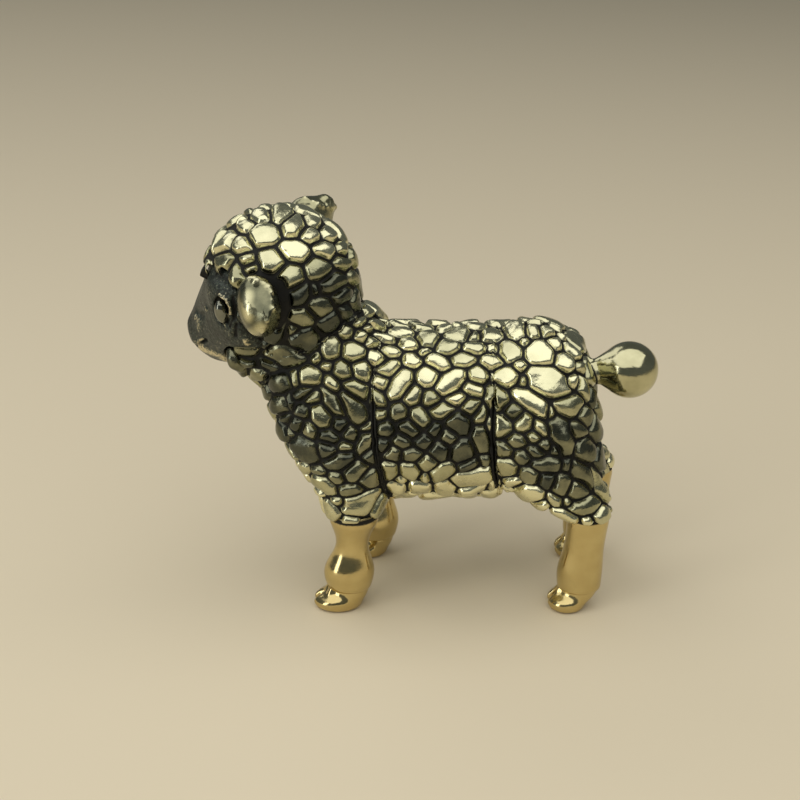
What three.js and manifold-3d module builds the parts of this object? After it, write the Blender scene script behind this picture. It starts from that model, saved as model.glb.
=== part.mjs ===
// Lamb figurine in antiqued brass: castings that plug together on round pegs and sockets,
// with two eye beads set in the face.
// Millimetres, +Z up. The lamb looks along -X and its left side faces -Y.

import * as THREE from 'three';
import { mergeVertices } from 'three/addons/utils/BufferGeometryUtils.js';
import Module from 'manifold-3d';

// Fits: the space left between pieces that meet, and how far the pegs reach
const GAP = 0.3;
const SEAM_PEG_RADIUS = 1.4;
const SEAM_PEG_LENGTH = 2.4;
const SPIGOT_RADIUS = 3.6;
const SPIGOT_LENGTH = 3.6;
const NECK_PEG_RADIUS = 2.4;
const NECK_PEG_LENGTH = 3.0;
const LEG_PEG_RADIUS = 1.0;
const LEG_PEG_LENGTH = 2.4;
const LEG_PEG_FORWARD = 0.9;
const HOOF_PEG_RADIUS = 0.9;
const HOOF_PEG_LENGTH = 1.2;
const EAR_PEG_RADIUS = 0.8;
const EAR_PEG_LENGTH = 2.2;

// Barrel: the middle of the trunk, an oval drum between two leaning seams
const TRUNK_HEIGHT = 20.0;
const BARREL_FRONT = -3.5;
const BARREL_BACK = 7.9;
const BARREL_HALF_HEIGHT = 9.45;
const BARREL_HALF_WIDTH = 8.3;
const BARREL_EDGE = 1.2;
const SEAM_LEAN = 4;
const SEAM_SKEW = 9;

// Stance: where the four legs stand, and the fleece rim round each of them
const LEG_SPREAD = 5.4;
const FORE_LEG_X = -7.1;
const HIND_LEG_X = 16.8;
const FORE_STAGGER = 2.2;
const HIND_STAGGER = 1.4;
const RIM_HEIGHT = 10.8;
const FORE_RIM_HALF_LENGTH = 3.0;
const HIND_RIM_HALF_LENGTH = 2.5;
const RIM_HALF_WIDTH = 2.7;

// Shoulders: chest, neck base and upper foreleg, from the rim up to the nape
const ELBOW_HEIGHT = 14.0;
const ELBOW_X = -7.5;
const ELBOW_HALF_LENGTH = 4.1;
const ELBOW_HALF_WIDTH = 8.4;
const ELBOW_OFFSET = 4.6;
const CHEST_HEIGHT = 19.4;
const CHEST_X = -8.0;
const CHEST_HALF_LENGTH = 7.1;
const CHEST_HALF_WIDTH = 8.8;
const CHEST_OFFSET = 2.6;
const NECK_HEIGHT = 25.9;
const NECK_X = -9.1;
const NECK_HALF_LENGTH = 7.9;
const NECK_HALF_WIDTH = 7.2;
const NECK_OFFSET = 1.6;
const NAPE_HEIGHT = 31.2;
const NAPE_X = -9.3;
const NAPE_HALF_LENGTH = 4.6;
const NAPE_HALF_WIDTH = 4.6;
const NAPE_OFFSET = 0.6;

// Haunches: rump and upper hind leg, from the rim up to the croup
const HOCK_HEIGHT = 12.6;
const HOCK_X = 14.4;
const HOCK_HALF_LENGTH = 4.8;
const HOCK_HALF_WIDTH = 8.4;
const HOCK_OFFSET = 4.9;
const THIGH_HEIGHT = 15.8;
const THIGH_X = 12.6;
const THIGH_HALF_LENGTH = 5.8;
const THIGH_HALF_WIDTH = 8.8;
const THIGH_OFFSET = 3.9;
const RUMP_HEIGHT = 20.9;
const RUMP_X = 11.4;
const RUMP_HALF_LENGTH = 6.6;
const RUMP_HALF_WIDTH = 8.9;
const RUMP_OFFSET = 2.6;
const LOIN_HEIGHT = 27.4;
const LOIN_X = 11.1;
const LOIN_HALF_LENGTH = 5.2;
const LOIN_HALF_WIDTH = 5.8;
const LOIN_OFFSET = 1.6;
const CROUP_HEIGHT = 30.0;
const CROUP_X = 11.0;
const CROUP_HALF_LENGTH = 1.2;
const CROUP_HALF_WIDTH = 1.2;
const CROUP_OFFSET = 0.4;

// Head: a fleece ball, turned a little away from the left side and tipped
const HEAD_X = -14.0;
const HEAD_HEIGHT = 34.2;
const HEAD_HALF_LENGTH = 8.1;
const HEAD_HALF_WIDTH = 7.6;
const HEAD_HALF_HEIGHT = 7.8;
const HEAD_TURN = 13;
const HEAD_ROLL = 12;
const NECK_PEG_LEAN = 14;

// Jowls: the fleece under the ears and the jaw, measured from the head's centre
const JOWL_X = -1.9;
const JOWL_DROP = 6.2;
const JOWL_HALF_LENGTH = 4.2;
const JOWL_HALF_WIDTH = 6.9;
const JOWL_HALF_HEIGHT = 4.9;

// Face: a tapering snout let into the front of the head, measured from the head's centre
const FACE_DROP = 33;
const FACE_ROOT = 0.4;
const FACE_ROOT_HALF_WIDTH = 4.2;
const BROW_REACH = 2.6;
const BROW_HALF_WIDTH = 7.4;
const BROW_HALF_HEIGHT = 6.2;
const BROW_SAG = -0.2;
const CHEEK_REACH = 7.8;
const CHEEK_HALF_WIDTH = 5.0;
const CHEEK_HALF_HEIGHT = 4.8;
const CHEEK_SAG = 1.1;
const MUZZLE_REACH = 10.9;
const MUZZLE_HALF_WIDTH = 3.2;
const MUZZLE_HALF_HEIGHT = 3.2;
const MUZZLE_SAG = 1.4;
const NOSE_REACH = 12.4;
const NOSE_HALF_WIDTH = 1.7;
const NOSE_HALF_HEIGHT = 1.8;
const NOSE_SAG = 1.3;

// Temples: the bare brow round each eye, a lens that stands just out of the fleece
const TEMPLE_RISE = 32;
const TEMPLE_LEAN = 28;
const TEMPLE_DISTANCE = 6.2;
const TEMPLE_HALF_DEPTH = 1.75;
const TEMPLE_RADIUS = 2.9;

// Eyes: almond beads sunk in the sides of the face
const EYE_REACH = 3.2;
const EYE_RISE = 22;
const EYE_HALF_LENGTH = 0.7;
const EYE_HALF_HEIGHT = 1.3;
const EYE_HALF_DEPTH = 0.8;
const EYE_TILT = 30;

// Ears: blunt leaves that stand out sideways from the head
const EAR_X = -4.0;
const EAR_RISE = 0.1;
const EAR_LENGTH = 5.4;
const EAR_BELLY = 1.8;
const EAR_HALF_WIDTH = 2.1;
const EAR_HALF_HEIGHT = 3.1;
const EAR_ROOT_HALF_WIDTH = 1.6;
const EAR_ROOT_HALF_HEIGHT = 2.3;
const EAR_TIP_HALF_WIDTH = 0.45;
const EAR_TIP_HALF_HEIGHT = 0.5;
const EAR_SWEEP = 30;
const EAR_LIFT = 12;

// Shanks: bare lower legs, thin under the rim and round at the fetlock
const FORE_SHIN_HALF_WIDTH = 1.7;
const HIND_SHIN_HALF_WIDTH = 2.1;
const SHIN_HEIGHT = 7.4;
const FORE_FETLOCK_HALF_WIDTH = 2.7;
const HIND_FETLOCK_HALF_WIDTH = 2.4;
const FETLOCK_HEIGHT = 4.1;
const FETLOCK_FORWARD = 0.7;
const SHIN_FORWARD = 0.3;
const FORE_SHANK_TOP_HALF_WIDTH = 2.7;
const HIND_SHANK_TOP_HALF_WIDTH = 2.2;
const SIDE_FLATTENING = 0.88;

// Hooves: cloven, with a flat sole on the ground
const HOOF_HEIGHT = 1.9;
const FORE_HOOF_HALF_LENGTH = 2.75;
const HIND_HOOF_HALF_LENGTH = 2.2;
const HOOF_HALF_WIDTH = 2.3;
const HOOF_FORWARD = 1.9;
const HOOF_CROWN_HALF_WIDTH = 2.3;
const HOOF_WALL_HEIGHT = 0.8;
const HOOF_SOLE_INSET = 0.25;
const CLEFT_WIDTH = 0.5;
const CLEFT_DEPTH = 1.2;

// Tail: a polished drop on a thin stem
const TAIL_HEIGHT = 24.5;
const TAIL_BALL_X = 20.8;
const TAIL_BALL_RADIUS = 2.95;
const TAIL_STEM_RADIUS = 1.1;
const TAIL_NECK_LENGTH = 3.6;
const TAIL_NECK_ANGLE = 45;
const TAIL_STEM_LENGTH = 3.0;

// Cobbles of the fleece: their spacing along the barrel, how many go round a form, and their grooves
const COBBLE_ROW = 2.8;
const COBBLE_SIDES = 16;
const COBBLE_STEPS = 2;
const HEAD_COBBLE_SPLITS = 3;
const JOWL_COBBLE_SPLITS = 1;
const COBBLE_GROOVE = 0.55;
const COBBLE_WALL = 0.3;
const COBBLE_UNEVEN = 1.4;
const COBBLE_SEED = 5;

// Smoothness of the round forms, and a block larger than the figure for cutting
const FORM_SIDES = 24;
const LIMB_SIDES = 18;
const PEG_SIDES = 12;
const BEAD_SIDES = 12;
const KEY_STEPS = 4;
const CUTTER = 120;
const WELD_DISTANCE = 1e-5;

// Colours: brass tops with dark hollows, bare polished brass, and the blackened face
const FLEECE_BRASS = { color: 0x8f8550, roughness: 0.38, metalness: 0.95 };
const BARE_BRASS = { color: 0xb08d46, roughness: 0.25, metalness: 1.0 };
const BLACKENED_BRASS = { color: 0x2f322c, roughness: 0.6, metalness: 0.7 };

const wasm = await Module();
wasm.setup();

const X_AXIS = new THREE.Vector3(1, 0, 0);
const Y_AXIS = new THREE.Vector3(0, 1, 0);
const Z_AXIS = new THREE.Vector3(0, 0, 1);
const radians = THREE.MathUtils.degToRad;

// A geometry with nothing but its positions, its shared corners merged
function welded(geometry) {
  const bare = geometry.clone();
  bare.deleteAttribute('normal');
  bare.deleteAttribute('uv');
  return mergeVertices(bare, WELD_DISTANCE);
}

// A closed three.js geometry as a solid that can be joined and cut
function solidOf(geometry) {
  const merged = welded(geometry);
  return new wasm.Manifold(new wasm.Mesh({
    numProp: 3,
    vertProperties: new Float32Array(merged.attributes.position.array),
    triVerts: new Uint32Array(merged.index.array),
  }));
}

function geometryOf(solid) {
  const mesh = solid.getMesh();
  const geometry = new THREE.BufferGeometry();
  geometry.setAttribute('position', new THREE.BufferAttribute(new Float32Array(mesh.vertProperties), 3));
  geometry.setIndex(new THREE.BufferAttribute(new Uint32Array(mesh.triVerts), 1));
  geometry.computeVertexNormals();
  return geometry;
}

function geometryFrom(points, triangles) {
  const geometry = new THREE.BufferGeometry().setFromPoints(points);
  geometry.setIndex(triangles);
  return geometry;
}

// A skin over oval level sections, each given as x, y, z with a half length and a half width.
// In a staggered one, every second ring is turned by half a side, as bricks are laid.
function loft(keys, sides, grow = 0, steps = KEY_STEPS, staggered = false) {
  const spine = new THREE.CatmullRomCurve3(keys.map((key) => new THREE.Vector3(key.x, key.y, key.z)));
  const girth = new THREE.CatmullRomCurve3(keys.map((key) => new THREE.Vector3(key.long, key.wide, 0)));
  const rings = (keys.length - 1) * steps;
  const points = [];
  for (let ring = 0; ring <= rings; ring += 1) {
    const centre = spine.getPoint(ring / rings);
    const radii = girth.getPoint(ring / rings);
    if (ring === 0) centre.z -= grow;
    if (ring === rings) centre.z += grow;
    const turn = staggered && ring % 2 ? 0.5 : 0;
    for (let side = 0; side < sides; side += 1) {
      const angle = ((side + turn) / sides) * 2 * Math.PI;
      points.push(new THREE.Vector3(
        centre.x + (radii.x + grow) * Math.cos(angle),
        centre.y + (radii.y + grow) * Math.sin(angle),
        centre.z,
      ));
    }
  }
  const triangles = [];
  for (let ring = 0; ring < rings; ring += 1) {
    for (let side = 0; side < sides; side += 1) {
      const next = (side + 1) % sides;
      const low = ring * sides;
      const high = low + sides;
      if (staggered && ring % 2 === 0) {
        triangles.push(low + side, low + next, high + side, low + next, high + next, high + side);
      } else {
        triangles.push(low + side, low + next, high + next, low + side, high + next, high + side);
      }
    }
  }
  const top = rings * sides;
  const bottomMiddle = points.push(middleOf(points.slice(0, sides))) - 1;
  const topMiddle = points.push(middleOf(points.slice(top, top + sides))) - 1;
  for (let side = 0; side < sides; side += 1) {
    const next = (side + 1) % sides;
    triangles.push(bottomMiddle, next, side);
    triangles.push(topMiddle, top + side, top + next);
  }
  return geometryFrom(points, triangles);
}

function middleOf(points, weights = points.map(() => 1)) {
  const middle = new THREE.Vector3();
  points.forEach((point, index) => middle.addScaledVector(point, weights[index]));
  return middle.divideScalar(weights.reduce((sum, weight) => sum + weight));
}

// Cobbles over a coarse closed skin: each of its corners becomes the middle of one, and the grooves
// between them run through an uneven, sunk middle of every face. Narrow cobbles have shallow grooves.
function cobbled(geometry, shareAt = () => 1) {
  const coarse = welded(geometry);
  const count = coarse.attributes.position.count;
  const points = [];
  for (let index = 0; index < count; index += 1) {
    points.push(new THREE.Vector3().fromBufferAttribute(coarse.attributes.position, index));
  }
  const edges = new Map();
  THREE.MathUtils.seededRandom(COBBLE_SEED);
  for (let start = 0; start < coarse.index.count; start += 3) {
    const ids = [0, 1, 2].map((offset) => coarse.index.getX(start + offset));
    const corners = ids.map((id) => points[id]);
    const middle = middleOf(corners, ids.map(() => 1 + COBBLE_UNEVEN * THREE.MathUtils.seededRandom()));
    const inwards = new THREE.Triangle(...corners).getNormal(new THREE.Vector3()).negate();
    const width = Math.min(...corners.map((corner, k) => corner.distanceTo(corners[(k + 1) % 3])));
    const depth = COBBLE_GROOVE * Math.min(1, width / COBBLE_ROW) * shareAt(middle);
    const groove = points.push(middle.clone().addScaledVector(inwards, depth)) - 1;
    const rims = corners.map((corner) => points.push(middle.clone().lerp(corner, COBBLE_WALL)) - 1);
    ids.forEach((from, k) => {
      const to = ids[(k + 1) % 3];
      edges.set(from * count + to, { from, to, groove, fromRim: rims[k], toRim: rims[(k + 1) % 3] });
    });
  }
  const triangles = [];
  for (const here of edges.values()) {
    const across = edges.get(here.to * count + here.from);
    triangles.push(here.from, across.toRim, here.fromRim);
    triangles.push(across.toRim, across.groove, here.groove);
    triangles.push(across.toRim, here.groove, here.fromRim);
  }
  return geometryFrom(points, triangles);
}

function ovalBall(halfLength, halfWidth, halfHeight, sides) {
  return new THREE.SphereGeometry(1, sides, sides / 2)
    .rotateX(Math.PI / 2)
    .scale(halfLength, halfWidth, halfHeight);
}

// A round peg from one point along a direction; its socket is the same peg grown by the gap
function peg(from, direction, length, radius, grow = 0) {
  const reach = length + grow;
  return new THREE.CylinderGeometry(radius + grow, radius + grow, reach, PEG_SIDES)
    .translate(0, reach / 2, 0)
    .applyQuaternion(new THREE.Quaternion().setFromUnitVectors(Y_AXIS, direction))
    .translate(from.x, from.y, from.z);
}

// Everything between two leaning seams, given by where each crosses the trunk's axis
function betweenSeams(front, back) {
  return solidOf(new THREE.BoxGeometry(back - front, CUTTER, CUTTER)
    .translate((front + back) / 2, 0, 0)
    .applyMatrix4(leaning()));
}

// Shear that leans the seams forward as they rise and sets them back on the right side
function leaning() {
  const lean = Math.tan(radians(SEAM_LEAN));
  const skew = Math.tan(radians(SEAM_SKEW));
  return new THREE.Matrix4().set(
    1, skew, -lean, 0,
    0, 1, 0, 0,
    0, 0, 1, TRUNK_HEIGHT,
    0, 0, 0, 1,
  );
}

// One side of the middle plane, clear of it by half a gap, from the fleece rims up
function halfSpace(side) {
  return solidOf(new THREE.BoxGeometry(2 * CUTTER, CUTTER, CUTTER)
    .translate(0, side * (CUTTER + GAP) / 2, RIM_HEIGHT + CUTTER / 2));
}

// A drum with rounded ends, just larger than the barrel's fleece, which it trims
function barrelEnds() {
  const front = BARREL_FRONT + GAP / 2;
  const back = BARREL_BACK - GAP / 2;
  const radius = BARREL_HALF_HEIGHT + GAP;
  const outline = new THREE.Path();
  outline.moveTo(0, front);
  outline.lineTo(radius - BARREL_EDGE, front);
  outline.quadraticCurveTo(radius, front, radius, front + BARREL_EDGE);
  outline.lineTo(radius, back - BARREL_EDGE);
  outline.quadraticCurveTo(radius, back, radius - BARREL_EDGE, back);
  outline.lineTo(0, back);
  return new THREE.LatheGeometry(outline.getPoints(KEY_STEPS), FORM_SIDES)
    .rotateZ(-Math.PI / 2)
    .scale(1, (BARREL_HALF_WIDTH + GAP) / radius, 1)
    .applyMatrix4(leaning());
}

// The barrel's fleece runs on past both seams, so that its cobbles are cut there and not squeezed
function barrel() {
  const front = BARREL_FRONT - COBBLE_ROW;
  const back = BARREL_BACK + COBBLE_ROW;
  const section = { x: 0, y: 0, long: BARREL_HALF_HEIGHT, wide: BARREL_HALF_WIDTH };
  const rows = Math.round((back - front) / COBBLE_ROW);
  const drum = loft([{ ...section, z: front }, { ...section, z: back }], COBBLE_SIDES, 0, rows, true)
    .rotateY(Math.PI / 2)
    .applyMatrix4(leaning());
  return solidOf(cobbled(drum)).intersect(solidOf(barrelEnds())).add(solidOf(trunkSpigots(0)));
}

// The barrel's axle: it runs through the drum and stands out at both ends
function trunkSpigots(grow) {
  const from = new THREE.Vector3(BARREL_FRONT - SPIGOT_LENGTH - grow, 0, TRUNK_HEIGHT);
  const length = BARREL_BACK - BARREL_FRONT + 2 * SPIGOT_LENGTH + grow;
  return peg(from, X_AXIS, length, SPIGOT_RADIUS, grow);
}

// The right legs stand behind the left ones; their fleece bends back from the girth to the rim
function setBack(side, stagger, z, girthHeight) {
  const share = THREE.MathUtils.clamp((girthHeight - z) / (girthHeight - RIM_HEIGHT), 0, 1);
  return side > 0 ? stagger * share ** 3 : 0;
}

// A level section of one side of the body: outer is its reach out from the middle plane
function bodyKey(side, stagger, girthHeight, x, z, halfLength, outer, offset) {
  const back = setBack(side, stagger, z, girthHeight);
  return { x: x + back, y: side * offset, z, long: halfLength, wide: outer - offset };
}

// The fleece of one side over its level sections; it runs on below the rim, and its grooves fade there
function bodyFleece(keys) {
  const [rim] = keys;
  const cuff = { ...rim, z: rim.z - COBBLE_ROW };
  const fade = (point) => THREE.MathUtils.clamp((point.z - RIM_HEIGHT) / COBBLE_ROW, 0, 1);
  return cobbled(loft([cuff, ...keys], COBBLE_SIDES, 0, COBBLE_STEPS, true), fade);
}

function shoulderForm(side) {
  const key = (...sizes) => bodyKey(side, FORE_STAGGER, CHEST_HEIGHT, ...sizes);
  return bodyFleece([
    key(FORE_LEG_X, RIM_HEIGHT, FORE_RIM_HALF_LENGTH, LEG_SPREAD + RIM_HALF_WIDTH, LEG_SPREAD),
    key(ELBOW_X, ELBOW_HEIGHT, ELBOW_HALF_LENGTH, ELBOW_HALF_WIDTH, ELBOW_OFFSET),
    key(CHEST_X, CHEST_HEIGHT, CHEST_HALF_LENGTH, CHEST_HALF_WIDTH, CHEST_OFFSET),
    key(NECK_X, NECK_HEIGHT, NECK_HALF_LENGTH, NECK_HALF_WIDTH, NECK_OFFSET),
    key(NAPE_X, NAPE_HEIGHT, NAPE_HALF_LENGTH, NAPE_HALF_WIDTH, NAPE_OFFSET),
  ]);
}

function haunchForm(side) {
  const key = (...sizes) => bodyKey(side, HIND_STAGGER, RUMP_HEIGHT, ...sizes);
  return bodyFleece([
    key(HIND_LEG_X, RIM_HEIGHT, HIND_RIM_HALF_LENGTH, LEG_SPREAD + RIM_HALF_WIDTH, LEG_SPREAD),
    key(HOCK_X, HOCK_HEIGHT, HOCK_HALF_LENGTH, HOCK_HALF_WIDTH, HOCK_OFFSET),
    key(THIGH_X, THIGH_HEIGHT, THIGH_HALF_LENGTH, THIGH_HALF_WIDTH, THIGH_OFFSET),
    key(RUMP_X, RUMP_HEIGHT, RUMP_HALF_LENGTH, RUMP_HALF_WIDTH, RUMP_OFFSET),
    key(LOIN_X, LOIN_HEIGHT, LOIN_HALF_LENGTH, LOIN_HALF_WIDTH, LOIN_OFFSET),
    key(CROUP_X, CROUP_HEIGHT, CROUP_HALF_LENGTH, CROUP_HALF_WIDTH, CROUP_OFFSET),
  ]);
}

// The peg that locks two halves together stands on the left half and enters the right one
function seamPeg(x, z, grow) {
  const from = new THREE.Vector3(x, -SEAM_PEG_LENGTH - grow, z);
  return peg(from, Y_AXIS, 2 * SEAM_PEG_LENGTH + grow, SEAM_PEG_RADIUS, grow);
}

// Where a leg stands on the ground
function footing(x, stagger, side) {
  return new THREE.Vector3(side > 0 ? x + stagger : x, side * LEG_SPREAD, 0);
}

// A leg's peg, in the leg's own frame, from inside the shank up into the fleece
function legPeg(grow) {
  const from = new THREE.Vector3(-LEG_PEG_FORWARD, 0, RIM_HEIGHT - GAP - LEG_PEG_RADIUS);
  return peg(from, Z_AXIS, LEG_PEG_RADIUS + GAP + LEG_PEG_LENGTH, LEG_PEG_RADIUS, grow);
}

function legSocket(x, stagger, side) {
  const foot = footing(x, stagger, side);
  return legPeg(GAP).translate(foot.x, foot.y, foot.z);
}

function lockHalves(solid, side, x, z) {
  if (side < 0) return solid.add(solidOf(seamPeg(x, z, 0)));
  return solid.subtract(solidOf(seamPeg(x, z, GAP)));
}

function shoulder(side) {
  const half = solidOf(shoulderForm(side))
    .intersect(halfSpace(side))
    .intersect(betweenSeams(BARREL_FRONT - CUTTER, BARREL_FRONT - GAP / 2))
    .subtract(solidOf(trunkSpigots(GAP)))
    .subtract(solidOf(headForm(GAP)))
    .subtract(solidOf(jowlForm(GAP)))
    .subtract(faceForm(GAP))
    .subtract(solidOf(neckPeg(GAP)))
    .subtract(solidOf(legSocket(FORE_LEG_X, FORE_STAGGER, side)));
  const x = BARREL_FRONT - SPIGOT_LENGTH - 2 * SEAM_PEG_RADIUS;
  return lockHalves(half, side, x, CHEST_HEIGHT - SEAM_PEG_RADIUS);
}

function haunch(side) {
  const half = solidOf(haunchForm(side))
    .intersect(halfSpace(side))
    .intersect(betweenSeams(BARREL_BACK + GAP / 2, BARREL_BACK + CUTTER))
    .subtract(solidOf(trunkSpigots(GAP)))
    .subtract(solidOf(tailForm(GAP)))
    .subtract(solidOf(legSocket(HIND_LEG_X, HIND_STAGGER, side)));
  const x = BARREL_BACK + SPIGOT_LENGTH + 2 * SEAM_PEG_RADIUS;
  return lockHalves(half, side, x, RUMP_HEIGHT - SEAM_PEG_RADIUS);
}

// From the head's own frame, centred in the fleece ball, to the figure
function headPose() {
  return new THREE.Matrix4()
    .makeTranslation(HEAD_X, 0, HEAD_HEIGHT)
    .multiply(new THREE.Matrix4().makeRotationZ(radians(-HEAD_TURN)))
    .multiply(new THREE.Matrix4().makeRotationX(radians(HEAD_ROLL)));
}

function headForm(grow) {
  return ovalBall(HEAD_HALF_LENGTH + grow, HEAD_HALF_WIDTH + grow, HEAD_HALF_HEIGHT + grow, FORM_SIDES)
    .applyMatrix4(headPose());
}

function jowlForm(grow) {
  return ovalBall(JOWL_HALF_LENGTH + grow, JOWL_HALF_WIDTH + grow, JOWL_HALF_HEIGHT + grow, FORM_SIDES)
    .translate(JOWL_X, 0, -JOWL_DROP)
    .applyMatrix4(headPose());
}

// The cobbled fleece of the head's ball and of its jowls, inside the plain forms of the same size
function headFleece() {
  return cobbled(new THREE.IcosahedronGeometry(1, HEAD_COBBLE_SPLITS)
    .scale(HEAD_HALF_LENGTH, HEAD_HALF_WIDTH, HEAD_HALF_HEIGHT))
    .applyMatrix4(headPose());
}

function jowlFleece() {
  return cobbled(new THREE.IcosahedronGeometry(1, JOWL_COBBLE_SPLITS)
    .scale(JOWL_HALF_LENGTH, JOWL_HALF_WIDTH, JOWL_HALF_HEIGHT))
    .translate(JOWL_X, 0, -JOWL_DROP)
    .applyMatrix4(headPose());
}

function neckPeg(grow) {
  const lean = radians(NECK_PEG_LEAN);
  const down = new THREE.Vector3(Math.sin(lean), 0, -Math.cos(lean));
  const from = new THREE.Vector3(HEAD_X, 0, HEAD_HEIGHT);
  return peg(from, down, HEAD_HALF_HEIGHT + NECK_PEG_LENGTH, NECK_PEG_RADIUS, grow);
}

// The largest body: cobbles that a cut leaves standing alone are dropped
function largestBody(solid) {
  return solid.decompose().reduce((most, next) => (next.volume() > most.volume() ? next : most));
}

function head() {
  let solid = largestBody(solidOf(headFleece()).subtract(faceForm(GAP)))
    .add(solidOf(jowlFleece()))
    .add(solidOf(headForm(0)).intersect(solidOf(jowlForm(0))))
    .add(solidOf(neckPeg(0)));
  for (const side of [-1, 1]) {
    solid = solid.subtract(solidOf(earPeg(side, GAP))).subtract(solidOf(eyeForm(side, GAP)));
  }
  return solid;
}

// The snout's axis drops from the head's centre; sections are level in the snout's own frame
function facePose() {
  return headPose().multiply(new THREE.Matrix4().makeRotationY(radians(-90 - FACE_DROP)));
}

function faceKey(reach, halfHeight, halfWidth, sag) {
  return { x: -sag, y: 0, z: reach, long: halfHeight, wide: halfWidth };
}

function snoutForm(grow) {
  return loft([
    faceKey(FACE_ROOT, FACE_ROOT_HALF_WIDTH, FACE_ROOT_HALF_WIDTH, 0),
    faceKey(BROW_REACH, BROW_HALF_HEIGHT, BROW_HALF_WIDTH, BROW_SAG),
    faceKey(CHEEK_REACH, CHEEK_HALF_HEIGHT, CHEEK_HALF_WIDTH, CHEEK_SAG),
    faceKey(MUZZLE_REACH, MUZZLE_HALF_HEIGHT, MUZZLE_HALF_WIDTH, MUZZLE_SAG),
    faceKey(NOSE_REACH, NOSE_HALF_HEIGHT, NOSE_HALF_WIDTH, NOSE_SAG),
  ], FORM_SIDES, grow).applyMatrix4(facePose());
}

function templeForm(side, grow) {
  const rise = radians(TEMPLE_RISE);
  const lean = radians(TEMPLE_LEAN);
  const outwards = new THREE.Vector3(
    Math.sin(rise) * Math.cos(lean), side * Math.cos(rise) * Math.cos(lean), Math.sin(lean),
  );
  const centre = outwards.clone().multiplyScalar(TEMPLE_DISTANCE);
  return ovalBall(TEMPLE_RADIUS + grow, TEMPLE_RADIUS + grow, TEMPLE_HALF_DEPTH + grow, LIMB_SIDES)
    .applyQuaternion(new THREE.Quaternion().setFromUnitVectors(Z_AXIS, outwards))
    .translate(centre.x, centre.y, centre.z)
    .applyMatrix4(facePose());
}

// The bare face: the snout and the two temples
function faceForm(grow) {
  return solidOf(snoutForm(grow)).add(solidOf(templeForm(-1, grow))).add(solidOf(templeForm(1, grow)));
}

// An eye lies on the snout's skin between brow and cheek, EYE_RISE degrees above its side
function eyeForm(side, grow) {
  const share = (EYE_REACH - BROW_REACH) / (CHEEK_REACH - BROW_REACH);
  const halfHeight = THREE.MathUtils.lerp(BROW_HALF_HEIGHT, CHEEK_HALF_HEIGHT, share);
  const halfWidth = THREE.MathUtils.lerp(BROW_HALF_WIDTH, CHEEK_HALF_WIDTH, share);
  const sag = THREE.MathUtils.lerp(BROW_SAG, CHEEK_SAG, share);
  const rise = radians(EYE_RISE);
  return ovalBall(EYE_HALF_HEIGHT + grow, EYE_HALF_DEPTH + grow, EYE_HALF_LENGTH + grow, BEAD_SIDES)
    .rotateY(radians(EYE_TILT))
    .translate(halfHeight * Math.sin(rise) - sag, side * halfWidth * Math.cos(rise), EYE_REACH)
    .applyMatrix4(facePose());
}

function face() {
  let solid = faceForm(0).subtract(solidOf(jowlForm(GAP))).subtract(solidOf(neckPeg(GAP)));
  for (const side of [-1, 1]) {
    solid = solid.subtract(solidOf(earPeg(side, GAP))).subtract(solidOf(eyeForm(side, GAP)));
  }
  return solid;
}

function eye(side) {
  return solidOf(eyeForm(side, 0));
}

// An ear's axis leaves the head's side, swept back and lifted
function earPose(side) {
  return headPose()
    .multiply(new THREE.Matrix4().makeTranslation(EAR_X, 0, EAR_RISE))
    .multiply(new THREE.Matrix4().makeRotationZ(radians(-side * EAR_SWEEP)))
    .multiply(new THREE.Matrix4().makeRotationX(radians(-side * (90 - EAR_LIFT))));
}

function earPeg(side, grow) {
  const from = new THREE.Vector3(0, 0, HEAD_HALF_WIDTH - EAR_PEG_LENGTH - grow);
  return peg(from, Z_AXIS, EAR_PEG_LENGTH + EAR_BELLY, EAR_PEG_RADIUS, grow).applyMatrix4(earPose(side));
}

function ear(side) {
  const key = (z, halfWidth, halfHeight) => ({ x: 0, y: 0, z, long: halfWidth, wide: halfHeight });
  const leaf = loft([
    key(HEAD_HALF_WIDTH - EAR_BELLY, EAR_ROOT_HALF_WIDTH, EAR_ROOT_HALF_HEIGHT),
    key(HEAD_HALF_WIDTH + EAR_BELLY, EAR_HALF_WIDTH, EAR_HALF_HEIGHT),
    key(HEAD_HALF_WIDTH + EAR_LENGTH, EAR_TIP_HALF_WIDTH, EAR_TIP_HALF_HEIGHT),
  ], LIMB_SIDES).applyMatrix4(earPose(side));
  return solidOf(leaf)
    .subtract(solidOf(headForm(GAP)))
    .subtract(solidOf(jowlForm(GAP)))
    .subtract(faceForm(GAP))
    .add(solidOf(earPeg(side, 0)));
}

// A shank stands over its hoof, with a peg up into the fleece and a socket for the hoof below
function shank(shinHalfWidth, fetlockHalfWidth, topHalfWidth) {
  const bottom = HOOF_HEIGHT + GAP;
  const top = RIM_HEIGHT - GAP;
  const level = (x, z, halfWidth) => ({ x, y: 0, z, long: halfWidth, wide: halfWidth * SIDE_FLATTENING });
  const skin = loft([
    level(-FETLOCK_FORWARD, bottom, HOOF_CROWN_HALF_WIDTH),
    level(-FETLOCK_FORWARD, FETLOCK_HEIGHT, fetlockHalfWidth),
    level(-SHIN_FORWARD, SHIN_HEIGHT, shinHalfWidth),
    level(0, top, topHalfWidth),
  ], LIMB_SIDES);
  return solidOf(skin).add(solidOf(legPeg(0))).subtract(solidOf(hoofPeg(GAP)));
}

function hoofPeg(grow) {
  const from = new THREE.Vector3(-FETLOCK_FORWARD, 0, HOOF_HEIGHT / 2);
  return peg(from, Z_AXIS, HOOF_HEIGHT / 2 + HOOF_PEG_LENGTH, HOOF_PEG_RADIUS, grow);
}

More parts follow.
